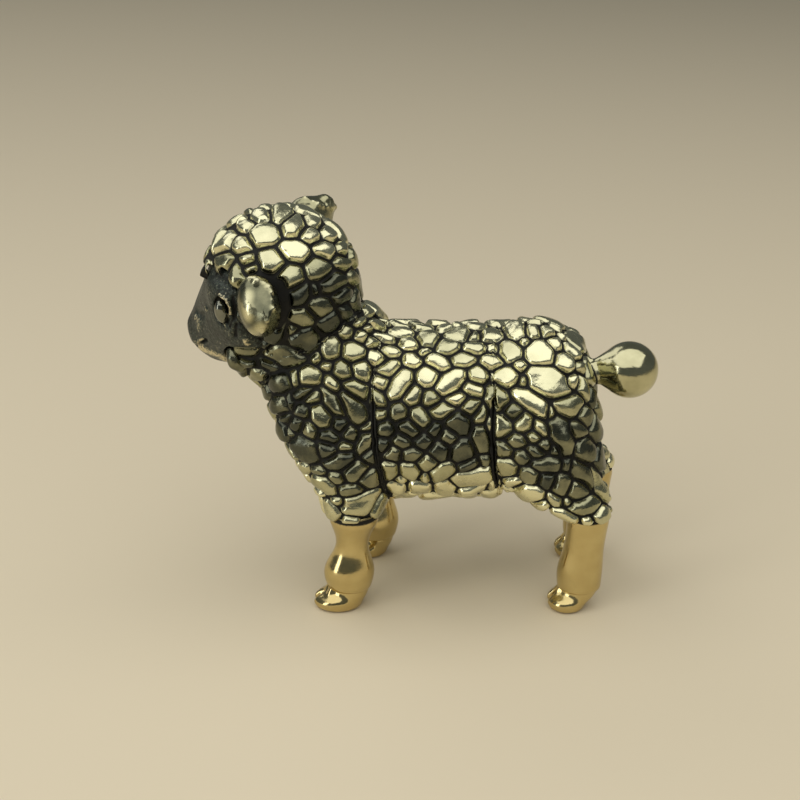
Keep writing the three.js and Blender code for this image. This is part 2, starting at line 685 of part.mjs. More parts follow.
function hoof(halfLength) {
  const key = (x, z, long, wide) => ({ x, y: 0, z, long, wide });
  const shell = loft([
    key(-HOOF_FORWARD, 0, halfLength - HOOF_SOLE_INSET, HOOF_HALF_WIDTH - HOOF_SOLE_INSET),
    key(-HOOF_FORWARD, HOOF_WALL_HEIGHT, halfLength, HOOF_HALF_WIDTH),
    key(-FETLOCK_FORWARD, HOOF_HEIGHT, HOOF_CROWN_HALF_WIDTH, HOOF_CROWN_HALF_WIDTH * SIDE_FLATTENING),
  ], LIMB_SIDES);
  const cleft = new THREE.BoxGeometry(2 * CLEFT_DEPTH, CLEFT_WIDTH, CUTTER)
    .translate(-HOOF_FORWARD - halfLength, 0, 0);
  return solidOf(shell).subtract(solidOf(cleft)).add(solidOf(hoofPeg(0)));
}

function tailForm(grow) {
  const outline = [];
  const stemEnd = TAIL_BALL_X - TAIL_NECK_LENGTH - TAIL_STEM_LENGTH - grow;
  outline.push(new THREE.Vector2(0, stemEnd));
  outline.push(new THREE.Vector2(TAIL_STEM_RADIUS + grow, stemEnd));
  outline.push(new THREE.Vector2(TAIL_STEM_RADIUS + grow, TAIL_BALL_X - TAIL_NECK_LENGTH));
  const radius = TAIL_BALL_RADIUS + grow;
  const arcSteps = FORM_SIDES / 2;
  const start = radians(TAIL_NECK_ANGLE);
  for (let step = 0; step < arcSteps; step += 1) {
    const angle = start + (Math.PI - start) * (step / arcSteps);
    outline.push(new THREE.Vector2(radius * Math.sin(angle), TAIL_BALL_X - radius * Math.cos(angle)));
  }
  outline.push(new THREE.Vector2(0, TAIL_BALL_X + radius));
  return new THREE.LatheGeometry(outline, LIMB_SIDES)
    .rotateZ(-Math.PI / 2)
    .translate(0, 0, TAIL_HEIGHT);
}

function meshOf(name, solid, finish) {
  const mesh = new THREE.Mesh(geometryOf(solid), new THREE.MeshStandardMaterial(finish));
  mesh.name = name;
  return mesh;
}

const lamb = new THREE.Group();
lamb.add(meshOf('barrel', barrel(), FLEECE_BRASS));
lamb.add(meshOf('head', head(), FLEECE_BRASS));
lamb.add(meshOf('face', face(), BLACKENED_BRASS));
lamb.add(meshOf('tail', solidOf(tailForm(0)), BARE_BRASS));

const SIDES = [{ word: 'left', side: -1 }, { word: 'right', side: 1 }];
for (const { word, side } of SIDES) {
  lamb.add(meshOf(`shoulder_${word}`, shoulder(side), FLEECE_BRASS));
  lamb.add(meshOf(`haunch_${word}`, haunch(side), FLEECE_BRASS));
  lamb.add(meshOf(`ear_${word}`, ear(side), BARE_BRASS));
  lamb.add(meshOf(`eye_${word}`, eye(side), BLACKENED_BRASS));
}

function addLegs(end, x, stagger, lowerSolid, footSolid) {
  for (const { word, side } of SIDES) {
    const lower = meshOf(`${end}_shank_${word}`, lowerSolid, BARE_BRASS);
    const foot = meshOf(`${end}_hoof_${word}`, footSolid, BARE_BRASS);
    lower.position.copy(footing(x, stagger, side));
    foot.position.copy(footing(x, stagger, side));
    lamb.add(lower, foot);
  }
}
const foreShank = shank(FORE_SHIN_HALF_WIDTH, FORE_FETLOCK_HALF_WIDTH, FORE_SHANK_TOP_HALF_WIDTH);
const hindShank = shank(HIND_SHIN_HALF_WIDTH, HIND_FETLOCK_HALF_WIDTH, HIND_SHANK_TOP_HALF_WIDTH);
addLegs('fore', FORE_LEG_X, FORE_STAGGER, foreShank, hoof(FORE_HOOF_HALF_LENGTH));
addLegs('hind', HIND_LEG_X, HIND_STAGGER, hindShank, hoof(HIND_HOOF_HALF_LENGTH));

// The origin is the middle of the figure's footprint, on the ground
const box = new THREE.Box3().setFromObject(lamb, true);
const middle = box.getCenter(new THREE.Vector3());
lamb.position.set(-middle.x, -middle.y, -box.min.z);

export default lamb;
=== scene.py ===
# %% [markdown]
# # A brass lamb in cobbled fleece
#
# The real object is a palm-sized lamb of antiqued brass. Its fleece is a mosaic of polished cobbles with
# black grooves between them, its face is dark and grainy, and its ears, legs and tail are bare polished
# metal. The solids of the lamb are loaded first. They stay where they are, and each gets a detailed skin
# over it.

# %% Load the solids
import math

import bpy
import numpy as np
from mathutils import Matrix, Vector
from mathutils.bvhtree import BVHTree


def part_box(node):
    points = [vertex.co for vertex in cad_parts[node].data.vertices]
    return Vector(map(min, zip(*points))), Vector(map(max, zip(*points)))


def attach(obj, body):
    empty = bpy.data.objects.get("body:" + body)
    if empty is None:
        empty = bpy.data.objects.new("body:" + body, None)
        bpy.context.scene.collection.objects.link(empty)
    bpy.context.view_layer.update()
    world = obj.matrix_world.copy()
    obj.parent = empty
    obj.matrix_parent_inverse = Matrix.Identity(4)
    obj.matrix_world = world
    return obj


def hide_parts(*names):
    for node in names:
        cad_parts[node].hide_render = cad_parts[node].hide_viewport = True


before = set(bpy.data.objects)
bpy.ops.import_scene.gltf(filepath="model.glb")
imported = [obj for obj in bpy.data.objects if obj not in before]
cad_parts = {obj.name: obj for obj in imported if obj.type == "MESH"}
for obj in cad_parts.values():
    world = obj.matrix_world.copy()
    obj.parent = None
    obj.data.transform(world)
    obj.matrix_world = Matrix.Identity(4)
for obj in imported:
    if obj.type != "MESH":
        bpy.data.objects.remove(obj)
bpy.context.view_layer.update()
MM = 0.001

# %% [markdown]
# ## The camera
#
# The camera comes early, because the cobbles on the near side are placed by looking through it. It stands
# almost square to the lamb's left side and looks down on it, close enough for some perspective. The lens is
# written as a focal length in pixels of an 800 pixel frame, and the sensor width turns that into
# millimetres.

# %% The photograph's camera
FRAME_PIXELS = 800
FOCAL_PIXELS = 1494.72
SENSOR_WIDTH = 36.0
VIEW_TURN = math.radians(2)
VIEW_RISE = math.radians(25)
VIEW_ROLL = math.radians(-0.8)
EYE_POINT = np.array([2.615, -137.867, 85.879])

ahead = np.array([
    -math.sin(VIEW_TURN) * math.cos(VIEW_RISE),
    math.cos(VIEW_TURN) * math.cos(VIEW_RISE),
    -math.sin(VIEW_RISE),
])
level_right = np.array([math.cos(VIEW_TURN), math.sin(VIEW_TURN), 0.0])
level_up = np.cross(level_right, ahead)
right = level_right * math.cos(VIEW_ROLL) + level_up * math.sin(VIEW_ROLL)
up = level_up * math.cos(VIEW_ROLL) - level_right * math.sin(VIEW_ROLL)

lens = bpy.data.cameras.new("photo_camera")
lens.sensor_width = SENSOR_WIDTH
lens.lens = FOCAL_PIXELS / FRAME_PIXELS * SENSOR_WIDTH
lens.clip_start = 0.01
camera = bpy.data.objects.new("photo_camera", lens)
bpy.context.scene.collection.objects.link(camera)
turn = Matrix((right, up, -ahead)).transposed().to_4x4()
camera.matrix_world = Matrix.Translation(Vector(EYE_POINT * MM)) @ turn
bpy.context.scene.camera = camera
print("lens:", round(lens.lens, 2), "mm")


# %% From a pixel to a line of sight
def sight(u, v):
    """The direction in which the camera sees a pixel."""
    line = ahead * FOCAL_PIXELS + right * (u - FRAME_PIXELS / 2) - up * (v - FRAME_PIXELS / 2)
    return line / np.linalg.norm(line)


# %% [markdown]
# ## Dense skins
#
# The solids are faceted, and polished metal shows every facet. Each skin starts as a voxel remesh of its
# solid, which gives small even quads all over it, and is then relaxed: every point moves towards the middle
# of its neighbours a few dozen times, until the facets are gone. The work is done in millimetres, because
# voxels of a tenth of a millimetre are too small a number in metres.

# %% Remesh and relax
FINE_VOXEL = 0.115
SMALL_VOXEL = 0.085
FACE_VOXEL = 0.092
FLEECE_ROUNDS = 10


def relax(points, edges, rounds):
    """Moves every point half way to the middle of its neighbours, again and again."""
    count = len(points)
    neighbours = np.bincount(edges.ravel(), minlength=count)
    first, second = edges[:, 0], edges[:, 1]
    for _ in range(rounds):
        for axis in range(3):
            row = points[:, axis]
            total = np.bincount(first, row[second], count) + np.bincount(second, row[first], count)
            points[:, axis] = row + 0.5 * (total / neighbours - row)
    return points


def coordinates(mesh):
    points = np.empty(len(mesh.vertices) * 3, np.float32)
    mesh.vertices.foreach_get("co", points)
    return points.reshape(-1, 3).astype(float)


def put_coordinates(mesh, points):
    mesh.vertices.foreach_set("co", np.ascontiguousarray(points, np.float32).ravel())
    mesh.update()


def keep_values(mesh, name, values):
    """Stores one number for each point, which the finishes read."""
    layer = mesh.attributes.new(name, "FLOAT", "POINT")
    layer.data.foreach_set("value", values.astype(np.float32))


def normals_of(mesh):
    normals = np.empty(len(mesh.vertices) * 3, np.float32)
    mesh.vertex_normals.foreach_get("vector", normals)
    return normals.reshape(-1, 3).astype(float)


def remeshed(source, voxel):
    """Small even quads over a closed mesh, or over several that overlap."""
    helper = bpy.data.objects.new("remesh_helper", source)
    bpy.context.scene.collection.objects.link(helper)
    remesh = helper.modifiers.new("even skin", "REMESH")
    remesh.mode = "VOXEL"
    remesh.voxel_size = voxel * 1.0
    graph = bpy.context.evaluated_depsgraph_get()
    mesh = bpy.data.meshes.new_from_object(helper.evaluated_get(graph))
    bpy.data.objects.remove(helper)
    mesh.materials.clear()
    return mesh


def relaxed(mesh, rounds):
    edges = np.empty(len(mesh.edges) * 2, np.int32)
    mesh.edges.foreach_get("vertices", edges)
    put_coordinates(mesh, relax(coordinates(mesh), edges.reshape(-1, 2), rounds))
    return mesh


def dense_skin(node, voxel, rounds):
    """A smooth, even copy of a solid's surface, in millimetres."""
    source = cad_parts[node].data.copy()
    source.transform(Matrix.Scale(1 / MM, 4))
    return relaxed(remeshed(source, voxel), rounds)


def tree_of(mesh):
    return BVHTree.FromPolygons([v.co for v in mesh.vertices], [p.vertices for p in mesh.polygons])


FLEECE = ["head", "barrel", "shoulder_left", "shoulder_right", "haunch_left", "haunch_right"]
skins = {node: dense_skin(node, FINE_VOXEL, FLEECE_ROUNDS) for node in FLEECE}
for node in FLEECE:
    print(node, "skin points:", len(skins[node].vertices))

# %% [markdown]
# ## One smooth envelope
#
# The solids carry coarse cobbles and keep a gap at every seam. On the lamb the seams can hardly be seen, and
# each cobble has its own shape. So the fleece starts again from a smooth envelope over all six pieces: each
# is swollen, the six are remeshed into one, and that is shrunk back by the same amount, which fills every
# narrow groove and gap. The skins then move out to the envelope, and their walls towards each other: low
# down a hairline is left between them, where the lamb has a crease, and higher up they overlap and the seam
# is gone.

# %% One envelope over the fleece
SWELL = 0.9
ENVELOPE_VOXEL = 0.2
SWOLLEN_ROUNDS = 10
ENVELOPE_ROUNDS = 30
bulk_points, bulk_faces = [], []
for skin in skins.values():
    start = len(bulk_points)
    bulk_points.extend((coordinates(skin) + SWELL * normals_of(skin)).tolist())
    bulk_faces.extend([start + i for i in polygon.vertices] for polygon in skin.polygons)
bulk = bpy.data.meshes.new("bulk")
bulk.from_pydata(bulk_points, [], bulk_faces)
envelope = relaxed(remeshed(bulk, ENVELOPE_VOXEL), SWOLLEN_ROUNDS)
put_coordinates(envelope, coordinates(envelope) - SWELL * normals_of(envelope))
envelope_tree = tree_of(relaxed(envelope, ENVELOPE_ROUNDS))
print("envelope points:", len(envelope.vertices))


# %% Nearest places and distances
def solid_tree(nodes):
    """The named solids, in millimetres, as one tree for finding the nearest point."""
    corners, faces = [], []
    for node in nodes:
        start = len(corners)
        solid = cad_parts[node].data
        corners += [v.co / MM for v in solid.vertices]
        faces += [[start + i for i in p.vertices] for p in solid.polygons]
    return BVHTree.FromPolygons(corners, faces)


def distances(mesh, tree, limit):
    """How far each point of a mesh is from a tree, up to a limit."""
    reach = np.full(len(mesh.vertices), limit)
    for index, vertex in enumerate(mesh.vertices):
        far = tree.find_nearest(vertex.co, limit)[3]
        if far is not None:
            reach[index] = far
    return reach


def distance_to_line(points, line):
    """How far each point is from a line of several pieces."""
    best = np.full(len(points), np.inf)
    for start, end in zip(line[:-1], line[1:]):
        run = end - start
        share = np.clip((points - start) @ run / (run @ run + 1e-12), 0, 1)
        best = np.minimum(best, np.linalg.norm(points - start - share[:, None] * run, axis=1))
    return best


def nearest_on_envelope(points):
    """For each point the nearest place on the envelope, the way it faces there, and how far it is."""
    places, facings, far = np.empty((len(points), 3)), np.empty((len(points), 3)), np.empty(len(points))
    for index, point in enumerate(points.tolist()):
        places[index], facings[index], _, far[index] = envelope_tree.find_nearest(point)
    return places, facings, far


def step(low, high, value):
    """Goes softly from 0 to 1 while the value goes from low to high."""
    share = np.clip((value - low) / (high - low), 0, 1)
    return share * share * (3 - 2 * share)


# %% Move the skins to the envelope
SEAM_REACH = 1.1
SEAM_CLOSE = 0.7
HAIRLINE = 0.02
OVERLAP = 0.12
CREASE_TOP = 26.5
CREASE_FADE = 2.5
OUTWARD = (0.1, 0.4)
NEAR_ENVELOPE = (0.9, 1.6)
LAID_ROUNDS = 3


def above_creases(mesh):
    return step(CREASE_TOP - CREASE_FADE, CREASE_TOP, coordinates(mesh)[:, 2])


def lay_on_envelope(node):
    """Moves a skin towards its neighbours, and then what is outside of it to the envelope."""
    mesh = skins[node]
    neighbours = solid_tree([other for other in FLEECE if other != node])
    points, normals = coordinates(mesh), normals_of(mesh)
    room = HAIRLINE - (HAIRLINE + OVERLAP) * above_creases(mesh)
    for index, point in enumerate(points.tolist()):
        place, _, _, far = neighbours.find_nearest(point, SEAM_REACH)
        if place is not None and far > HAIRLINE:
            share = max(far / 2 - room[index], 0) / far * (1 - step(SEAM_CLOSE, SEAM_REACH, far))
            points[index] += share * (np.array(place) - points[index])
    places, facings, far = nearest_on_envelope(points)
    outer = step(*OUTWARD, np.sum(normals * facings, axis=1)) * (1 - step(*NEAR_ENVELOPE, far))
    put_coordinates(mesh, points + outer[:, None] * (places - points))
    relaxed(mesh, LAID_ROUNDS)


for node in FLEECE:
    lay_on_envelope(node)
trees = {node: tree_of(skin) for node, skin in skins.items()}
print("skins laid on the envelope")


# %% [markdown]
# ## The cobbles of the near side
#
# What gives this lamb its character is the pattern of its cobbles, so those the photograph shows are listed
# one by one: the pixel of the middle, half the length, half the width, and the slant of the
# long axis in degrees, clockwise from level. A round cobble needs only its radius. A random mosaic would be
# quicker, but it would be some other lamb. The row of pixels after the head's list is the dark recess behind
# the ear.

# %% Cobbles of the head
HEAD_COBBLES = [
    (233, 216, 11, 4, -28), (263, 203, 9, 4, -8), (259, 212, 12, 7, -10), (281, 209, 12, 9, 5),
    (244, 223, 10, 6, -35), (263, 232, 17, 13, -10), (293, 222, 12, 11, -20), (238, 242, 11, 10, 0),
    (223, 239, 14, 7, -50), (212, 236, 11, 4, -60), (221, 263, 13, 9, -75), (207, 265, 11, 5, 80),
    (245, 258, 8, 7, -15), (234, 274, 13, 7, 70), (248, 268, 8, 4, -25), (271, 258, 15, 12, 5),
    (294, 249, 17, 12, 15), (312, 233, 10, 8, 5), (315, 219, 9, 5, 35), (331, 231, 10, 6, 35),
    (328, 248, 12, 9, 20), (345, 247, 8, 5, 60), (320, 268, 12), (346, 262, 10, 6, 50),
    (292, 275, 12), (335, 284, 15, 8, -35), (301, 297, 14, 9, -40), (348, 297, 11, 7, -30),
    (356, 277, 9, 4, 75), (322, 308, 11, 10, -20), (350, 312, 8), (302, 320, 13, 9, 5),
    (331, 324, 12, 7, -35), (348, 332, 6), (273, 337, 15, 8, -30), (305, 342, 14, 11, -10),
    (331, 350, 11, 9, -60), (283, 357, 20, 8, 10), (245, 348, 13, 11, 40), (266, 364, 9, 5, 10),
    (247, 364, 10, 5, 15),
]
EAR_RECESS = [(279, 284), (283, 292), (285, 302), (285, 312), (282, 321), (277, 328)]

# %% Cobbles of the shoulder
SHOULDER_COBBLES = [
    (362, 320, 6, 5, 0), (363, 336, 7, 6, 0), (372, 326, 5), (369, 308, 7, 4, 45), (355, 351, 12, 10, 5),
    (375, 341, 7, 5, 0), (378, 357, 8), (342, 370, 11, 8, 35), (363, 370, 10, 9, 60), (381, 380, 8, 7, 30),
    (309, 375, 12, 10, 0), (331, 383, 10, 6, 45), (357, 389, 13, 8, 30), (277, 385, 13, 9, -10),
    (299, 395, 11, 5, -20), (332, 404, 17, 8, 45), (354, 410, 19, 9, 55), (377, 400, 10, 6, 60),
    (275, 407, 11, 9, 10), (262, 394, 8, 4, 65), (300, 412, 8, 6, 20), (320, 417, 15, 10, 55),
    (282, 420, 5), (294, 427, 7, 6, 45), (307, 432, 8, 7, 30), (339, 426, 8), (276, 432, 12, 6, 60),
    (329, 438, 10, 8, 15), (351, 435, 9, 7, 20), (364, 444, 14, 7, -75), (302, 451, 17, 10, 42),
    (325, 451, 9), (345, 447, 8, 5, 5), (339, 464, 17, 8, -15), (369, 459, 7, 6, 0), (287, 452, 13, 4, 45),
    (316, 473, 9, 5, 15), (302, 470, 8, 4, 40), (356, 473, 13, 10, -30), (371, 481, 10, 8, -20),
    (334, 480, 9, 6, 30), (322, 487, 16, 7, 35), (350, 493, 14, 6, 0), (317, 494, 7, 4, 30),
    (337, 504, 9, 4, 25), (361, 506, 24, 10, -18), (256, 377, 8, 4, 20),
]

# %% Cobbles of the barrel
BARREL_COBBLES = [
    (379, 323, 9, 5, 20), (385, 337, 9, 4, 20), (402, 329, 12, 5, 5), (409, 341, 10, 6, 5),
    (427, 335, 10, 9, 0), (448, 345, 11, 7, 0), (458, 332, 11, 6, 0), (476, 346, 12, 7, 0),
    (491, 333, 10, 6, 0), (476, 323, 9, 4, 0), (444, 325, 9, 4, 0), (417, 322, 9, 3, 5),
    (391, 350, 9, 6, 15), (412, 359, 10, 8, 5), (437, 360, 14, 8, 25), (464, 358, 12, 8, -5),
    (491, 359, 11, 9, 0), (389, 367, 13, 8, -35), (401, 382, 18, 11, -65), (427, 376, 11),
    (451, 381, 19, 11, -40), (478, 373, 10, 9, 10), (412, 396, 12, 9, -60), (431, 398, 10, 9, 40),
    (456, 399, 11, 7, -15), (473, 389, 11, 7, 20), (399, 412, 11, 9, -60), (420, 418, 13, 8, 50),
    (442, 410, 12, 8, -10), (471, 407, 9), (460, 425, 13, 11, 40), (480, 417, 10, 6, -60),
    (409, 431, 12, 7, 35), (434, 432, 7), (449, 439, 9, 7, 15), (481, 441, 15, 9, 70),
    (402, 443, 9, 7, 20), (424, 443, 9, 7, 5), (463, 453, 12, 11, -60), (439, 453, 9),
    (393, 456, 7, 6, 0), (412, 457, 9, 6, 0), (383, 447, 6, 5, 90), (427, 466, 9, 7, 0),
    (468, 468, 10, 7, -15), (485, 462, 6, 5, 90), (390, 473, 8, 7, 60), (410, 475, 10, 8, 10),
    (441, 475, 14, 7, -25), (473, 481, 21, 8, -12), (397, 490, 8, 5, 0), (420, 491, 11, 6, 5),
    (445, 491, 10, 6, 0), (474, 492, 16, 4, -12), (379, 415, 7), (385, 430, 9, 8, 0),
]

# %% Cobbles of the haunch
HAUNCH_COBBLES = [
    (514, 326, 10, 9, 0), (533, 328, 9, 7, 0), (549, 328, 10, 6, 25), (557, 341, 9, 6, 45),
    (573, 348, 12, 5, 45), (510, 350, 12, 10, 0), (540, 351, 16, 12, 5), (567, 360, 12, 9, 50),
    (507, 377, 12, 10, 10), (549, 380, 32, 14, 20), (584, 367, 7, 4, 60), (587, 388, 13, 5, 75),
    (497, 398, 13, 9, 80), (531, 402, 25, 9, 38), (512, 413, 9, 7, 15), (573, 406, 16, 10, -20),
    (589, 416, 10, 6, 75), (501, 427, 13, 10, 80), (523, 424, 11, 10, -30), (541, 429, 11, 7, 40),
    (564, 437, 23, 12, 70), (580, 431, 10, 8, 0), (515, 442, 12, 8, 15), (533, 438, 9, 7, 15),
    (546, 447, 8, 6, 5), (589, 451, 13, 11, -40), (503, 451, 9, 7, 45), (535, 454, 10, 6, 20),
    (557, 451, 6), (521, 459, 9, 7, 20), (548, 467, 17, 8, 0), (506, 469, 10, 8, 20),
    (528, 478, 11, 8, 10), (512, 485, 8, 5, 10), (548, 482, 9, 8, 0), (585, 475, 19, 9, 40),
    (563, 487, 12, 9, -60), (580, 492, 12, 9, -50), (526, 497, 17, 7, 25), (555, 503, 9, 6, 25),
    (588, 507, 21, 8, -15), (541, 511, 11, 5, 5), (603, 489, 19, 5, 65), (606, 452, 9, 5, 65),
]
seen_cobbles = HEAD_COBBLES + SHOULDER_COBBLES + BARREL_COBBLES + HAUNCH_COBBLES
print("cobbles read from the photograph:", len(seen_cobbles))

# %% [markdown]
# ## From pixels to cobbles on the skin
#
# Each listed pixel is a line of sight, and where it meets the fleece is the middle of a cobble. Its
# long and short axes are carried from the picture to the plane that touches the skin there, so a cobble
# near the edge of the picture comes out as long as it really is. Every cobble keeps a small
# matrix that turns it into a unit circle: the distance to its edge is then easy to work out from any point.

# %% Place a seen cobble
GRAZING = 0.4
LONGEST = 2.6
PULLS = range(0, 14, 2)


class Cobble:
    """A flat oval on the skin: its middle, its two half axes and the way it faces."""

    def __init__(self, middle, facing, long_axis, short_axis):
        self.middle = middle
        self.facing = facing
        self.size = math.sqrt(np.linalg.norm(long_axis) * np.linalg.norm(short_axis))
        self.to_circle = np.linalg.inv(np.column_stack([long_axis, short_axis, facing * self.size]))


def first_fleece_hit(u, v):
    """How far away the fleece is under a pixel, the place there and the way it faces."""
    line = Vector(sight(u, v))
    hits = []
    for tree in trees.values():
        place, facing, _, far = tree.ray_cast(Vector(EYE_POINT), line)
        if place is not None:
            hits.append((far, np.array(place), np.array(facing)))
    return min(hits, key=lambda hit: hit[0]) if hits else None


def seen_cobble(u, v, half_long, half_short=None, slant=0):
    """The cobble under a pixel; a pixel just off the edge is moved inwards until it meets the skin."""
    half_short = half_short or half_long
    inwards = np.array([FRAME_PIXELS / 2 - u, FRAME_PIXELS / 2 - v])
    inwards = inwards / (np.linalg.norm(inwards) + 1e-9)
    for pull in PULLS:
        at = np.array([u, v]) + pull * inwards
        hit = first_fleece_hit(*at)
        if hit:
            break
    else:
        return None
    _, middle, facing = hit
    to_eye = EYE_POINT - middle
    to_eye = to_eye / np.linalg.norm(to_eye)
    plane = facing + to_eye * max(0.0, GRAZING - facing @ to_eye)
    plane = plane / np.linalg.norm(plane)
    along, across = math.cos(math.radians(slant)), math.sin(math.radians(slant))
    axes = []
    for du, dv, half in ((along, across, half_long), (-across, along, half_short)):
        line = sight(at[0] + half * du, at[1] + half * dv)
        reach = (middle - EYE_POINT) @ plane / (line @ plane)
        axis = EYE_POINT + line * reach - middle
        axis = axis - facing * (axis @ facing)
        axes.append(axis * min(1.0, LONGEST / np.linalg.norm(axis)))
    return Cobble(middle, facing, *axes)


placed = [seen_cobble(*entry) for entry in seen_cobbles]
cobbles = [cobble for cobble in placed if cobble]
print("cobbles on the skin:", len(cobbles), "off it:", len(placed) - len(cobbles))


# %% [markdown]
# ## Where the fleece ends
#
# A cobble may cross from one fleece piece to the next, apart from the two seams of the barrel, which show
# as creases on the lower half of the lamb. The fleece also ends where the face, the ears, the tail and the
# legs come out of it. So every point of a skin gets its distance to the nearest such border, and a value
# that says how much it belongs to the outside at all: the walls of the seams and the sockets stay plain.
# Towards the forehead the fleece thins out slowly, so that distance is spread, and the jowls run on to the
# cheek.

# %% Borders and outsides
FAR = 3.0
HAIRLINE_SPREAD = 5.0
FRINGE_LOW = 33.5
FRINGE_HIGH = 35.5
RECESS_HALF = 0.35
BARE_ROOM = 0.2
FACE_ROOM = 0.3
JOWL_ROOM = 2.5
ON_ENVELOPE = (0.25, 0.6)
FACING_OUT = (0.1, 0.5)
CREASED = {
    "barrel": ["shoulder_left", "shoulder_right", "haunch_left", "haunch_right"],
    "shoulder_left": ["barrel"],
    "shoulder_right": ["barrel"],
    "haunch_left": ["barrel"],
    "haunch_right": ["barrel"],
    "head": [],
}
bare_tree = solid_tree([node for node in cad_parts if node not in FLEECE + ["face"]])
face_solid = solid_tree(["face"])
recess = np.array([first_fleece_hit(*pixel)[1] for pixel in EAR_RECESS])


def border_of(node):
    """The distance of each point of a skin to the nearest end of the fleece."""
    reach = distances(skins[node], bare_tree, FAR) - BARE_ROOM
    reach = np.minimum(reach, distance_to_line(coordinates(skins[node]), recess) - RECESS_HALF)
    low = 1 - step(FRINGE_LOW, FRINGE_HIGH, coordinates(skins[node])[:, 2])
    to_face = distances(skins[node], face_solid, FAR) - FACE_ROOM
    reach = np.minimum(reach, HAIRLINE_SPREAD * to_face + JOWL_ROOM * low)
    above = FAR * above_creases(skins[node])
    for other in CREASED[node]:
        reach = np.minimum(reach, distances(skins[node], trees[other], FAR) - HAIRLINE + above)
    return reach


def outside_of(node):
    """1 where a point lies on the envelope and faces the same way, 0 on the walls inside."""
    _, facings, far = nearest_on_envelope(coordinates(skins[node]))
    agree = np.sum(normals_of(skins[node]) * facings, axis=1)
    return (1 - step(*ON_ENVELOPE, far)) * step(*FACING_OUT, agree)


borders = {node: border_of(node) for node in FLEECE}
outsides = {node: outside_of(node) for node in FLEECE}
print("outside points:", {node: int(np.sum(share > 0.5)) for node, share in outsides.items()})

# %% [markdown]
# ## The cobbles of the hidden sides
#
# The other sides get cobbles of the same kind. They are thrown onto the skin like darts, big ones first and
# smaller ones into what is left, and a dart counts only if its cobble keeps clear of the others and of the
# borders. That gives the close, irregular packing of the seen side without a plan.

# %% Throw the darts
DART_RADII = [1.75, 1.45, 1.2, 0.95, 0.75, 0.6]
DARTS_EACH = 2600
EDGE_ROOM = 0.6
CLOSENESS = 0.88
OPEN_SHARE = 0.8
LONGEST_STRETCH = 1.3
FIRST_SEED = 11


def throw_cobbles(node, seed):
    """Fills what the seen cobbles leave open on one skin."""
    chance = np.random.default_rng(seed)
    points, normals = coordinates(skins[node]), normals_of(skins[node])
    open_places = np.nonzero(outsides[node] > OPEN_SHARE)[0]
    middles = [c.middle for c in cobbles]
    sizes = [c.size for c in cobbles]
    for radius in DART_RADII:
        for index in chance.choice(open_places, DARTS_EACH):
            at, facing = points[index], normals[index]
            if borders[node][index] < radius * EDGE_ROOM:
                continue
            room = np.linalg.norm(np.array(middles) - at, axis=1) - np.array(sizes)
            if room.min() < radius * CLOSENESS:
                continue
            side = np.cross(facing, chance.normal(size=3))
            side = side / np.linalg.norm(side)
            stretch = chance.uniform(1.0, LONGEST_STRETCH)
            short_axis = np.cross(facing, side) * radius / stretch
            cobbles.append(Cobble(at, facing, side * radius * stretch, short_axis))
            middles.append(at)
            sizes.append(radius)


for seed, node in enumerate(FLEECE):
    throw_cobbles(node, seed + FIRST_SEED)
print("cobbles in all:", len(cobbles))


# %% [markdown]
# ## Carving the grooves
#
# Every point of a skin belongs to the cobble whose edge is nearest. The half-way line to the next cobble is
# the groove, and the point sinks by how close it is to that line: a flat black bottom, a round bevel, then a
# low dome. A soft minimum over several neighbours and a little relaxing at the end wear the corners down, as
# the polishing wheel does. The top of each cobble is also tipped a little, so that each mirrors another part
# of the room.
#
# Each cobble also gets a rub level, from dark to bright, by the way it faces and its height, and most of it
# is
# painted light: cobbles that face up are painted pale as highlights of the lamp overhead, those that face
# down under the body and the lowest ones are painted warm as a reflection of the floor, and the flanks and
# the jowls stay dark as painted shade. A small random spread on top is the cobbles' own tone.

# %% Tips and painted light
SHINGLE = 0.08
TIP = 0.08
TIP_SEED = 31
FACING_UP = (0.1, 0.6)
FACING_DOWN = (0.1, 0.45)
UNDER_THE_HEAD = (22.0, 26.0)
LOWEST = (12.0, 18.0)
# Levels of the painted light: painted shade on the sides, painted highlight on the tops, painted reflection
# of the floor underneath and on the lowest cobbles.
SIDE_PAINTED_SHADE = 0.08
TOP_PAINTED_HIGHLIGHT = 0.82
BELLY_PAINTED_REFLECTION = 0.6
LOWEST_PAINTED_REFLECTION = 0.5
RUB_SPREAD = 0.1

chance = np.random.default_rng(TIP_SEED)
middles = np.array([c.middle for c in cobbles])
to_circles = np.array([c.to_circle for c in cobbles])
sizes = np.array([c.size for c in cobbles])
facings = np.array([c.facing for c in cobbles])
tips = chance.normal(0, TIP, (len(cobbles), 3))
tips[:, 2] -= SHINGLE * (1 - np.abs(facings[:, 2]))
tips -= facings * np.sum(tips * facings, axis=1, keepdims=True)
below_head = 1 - step(*UNDER_THE_HEAD, middles[:, 2])
# Painted light by facing and height; only the random spread below is the cobbles' own tone.
rubs_and_painted_light = SIDE_PAINTED_SHADE + TOP_PAINTED_HIGHLIGHT * step(*FACING_UP, facings[:, 2])
rubs_and_painted_light = rubs_and_painted_light + BELLY_PAINTED_REFLECTION * step(*FACING_DOWN, -facings[:, 2]) * below_head
rubs_and_painted_light += LOWEST_PAINTED_REFLECTION * (1 - step(*LOWEST, middles[:, 2]))
rubs_and_painted_light = np.clip(rubs_and_painted_light + chance.normal(0, RUB_SPREAD, len(cobbles)), 0, 1)
print("mean rub:", round(float(rubs_and_painted_light.mean()), 2))

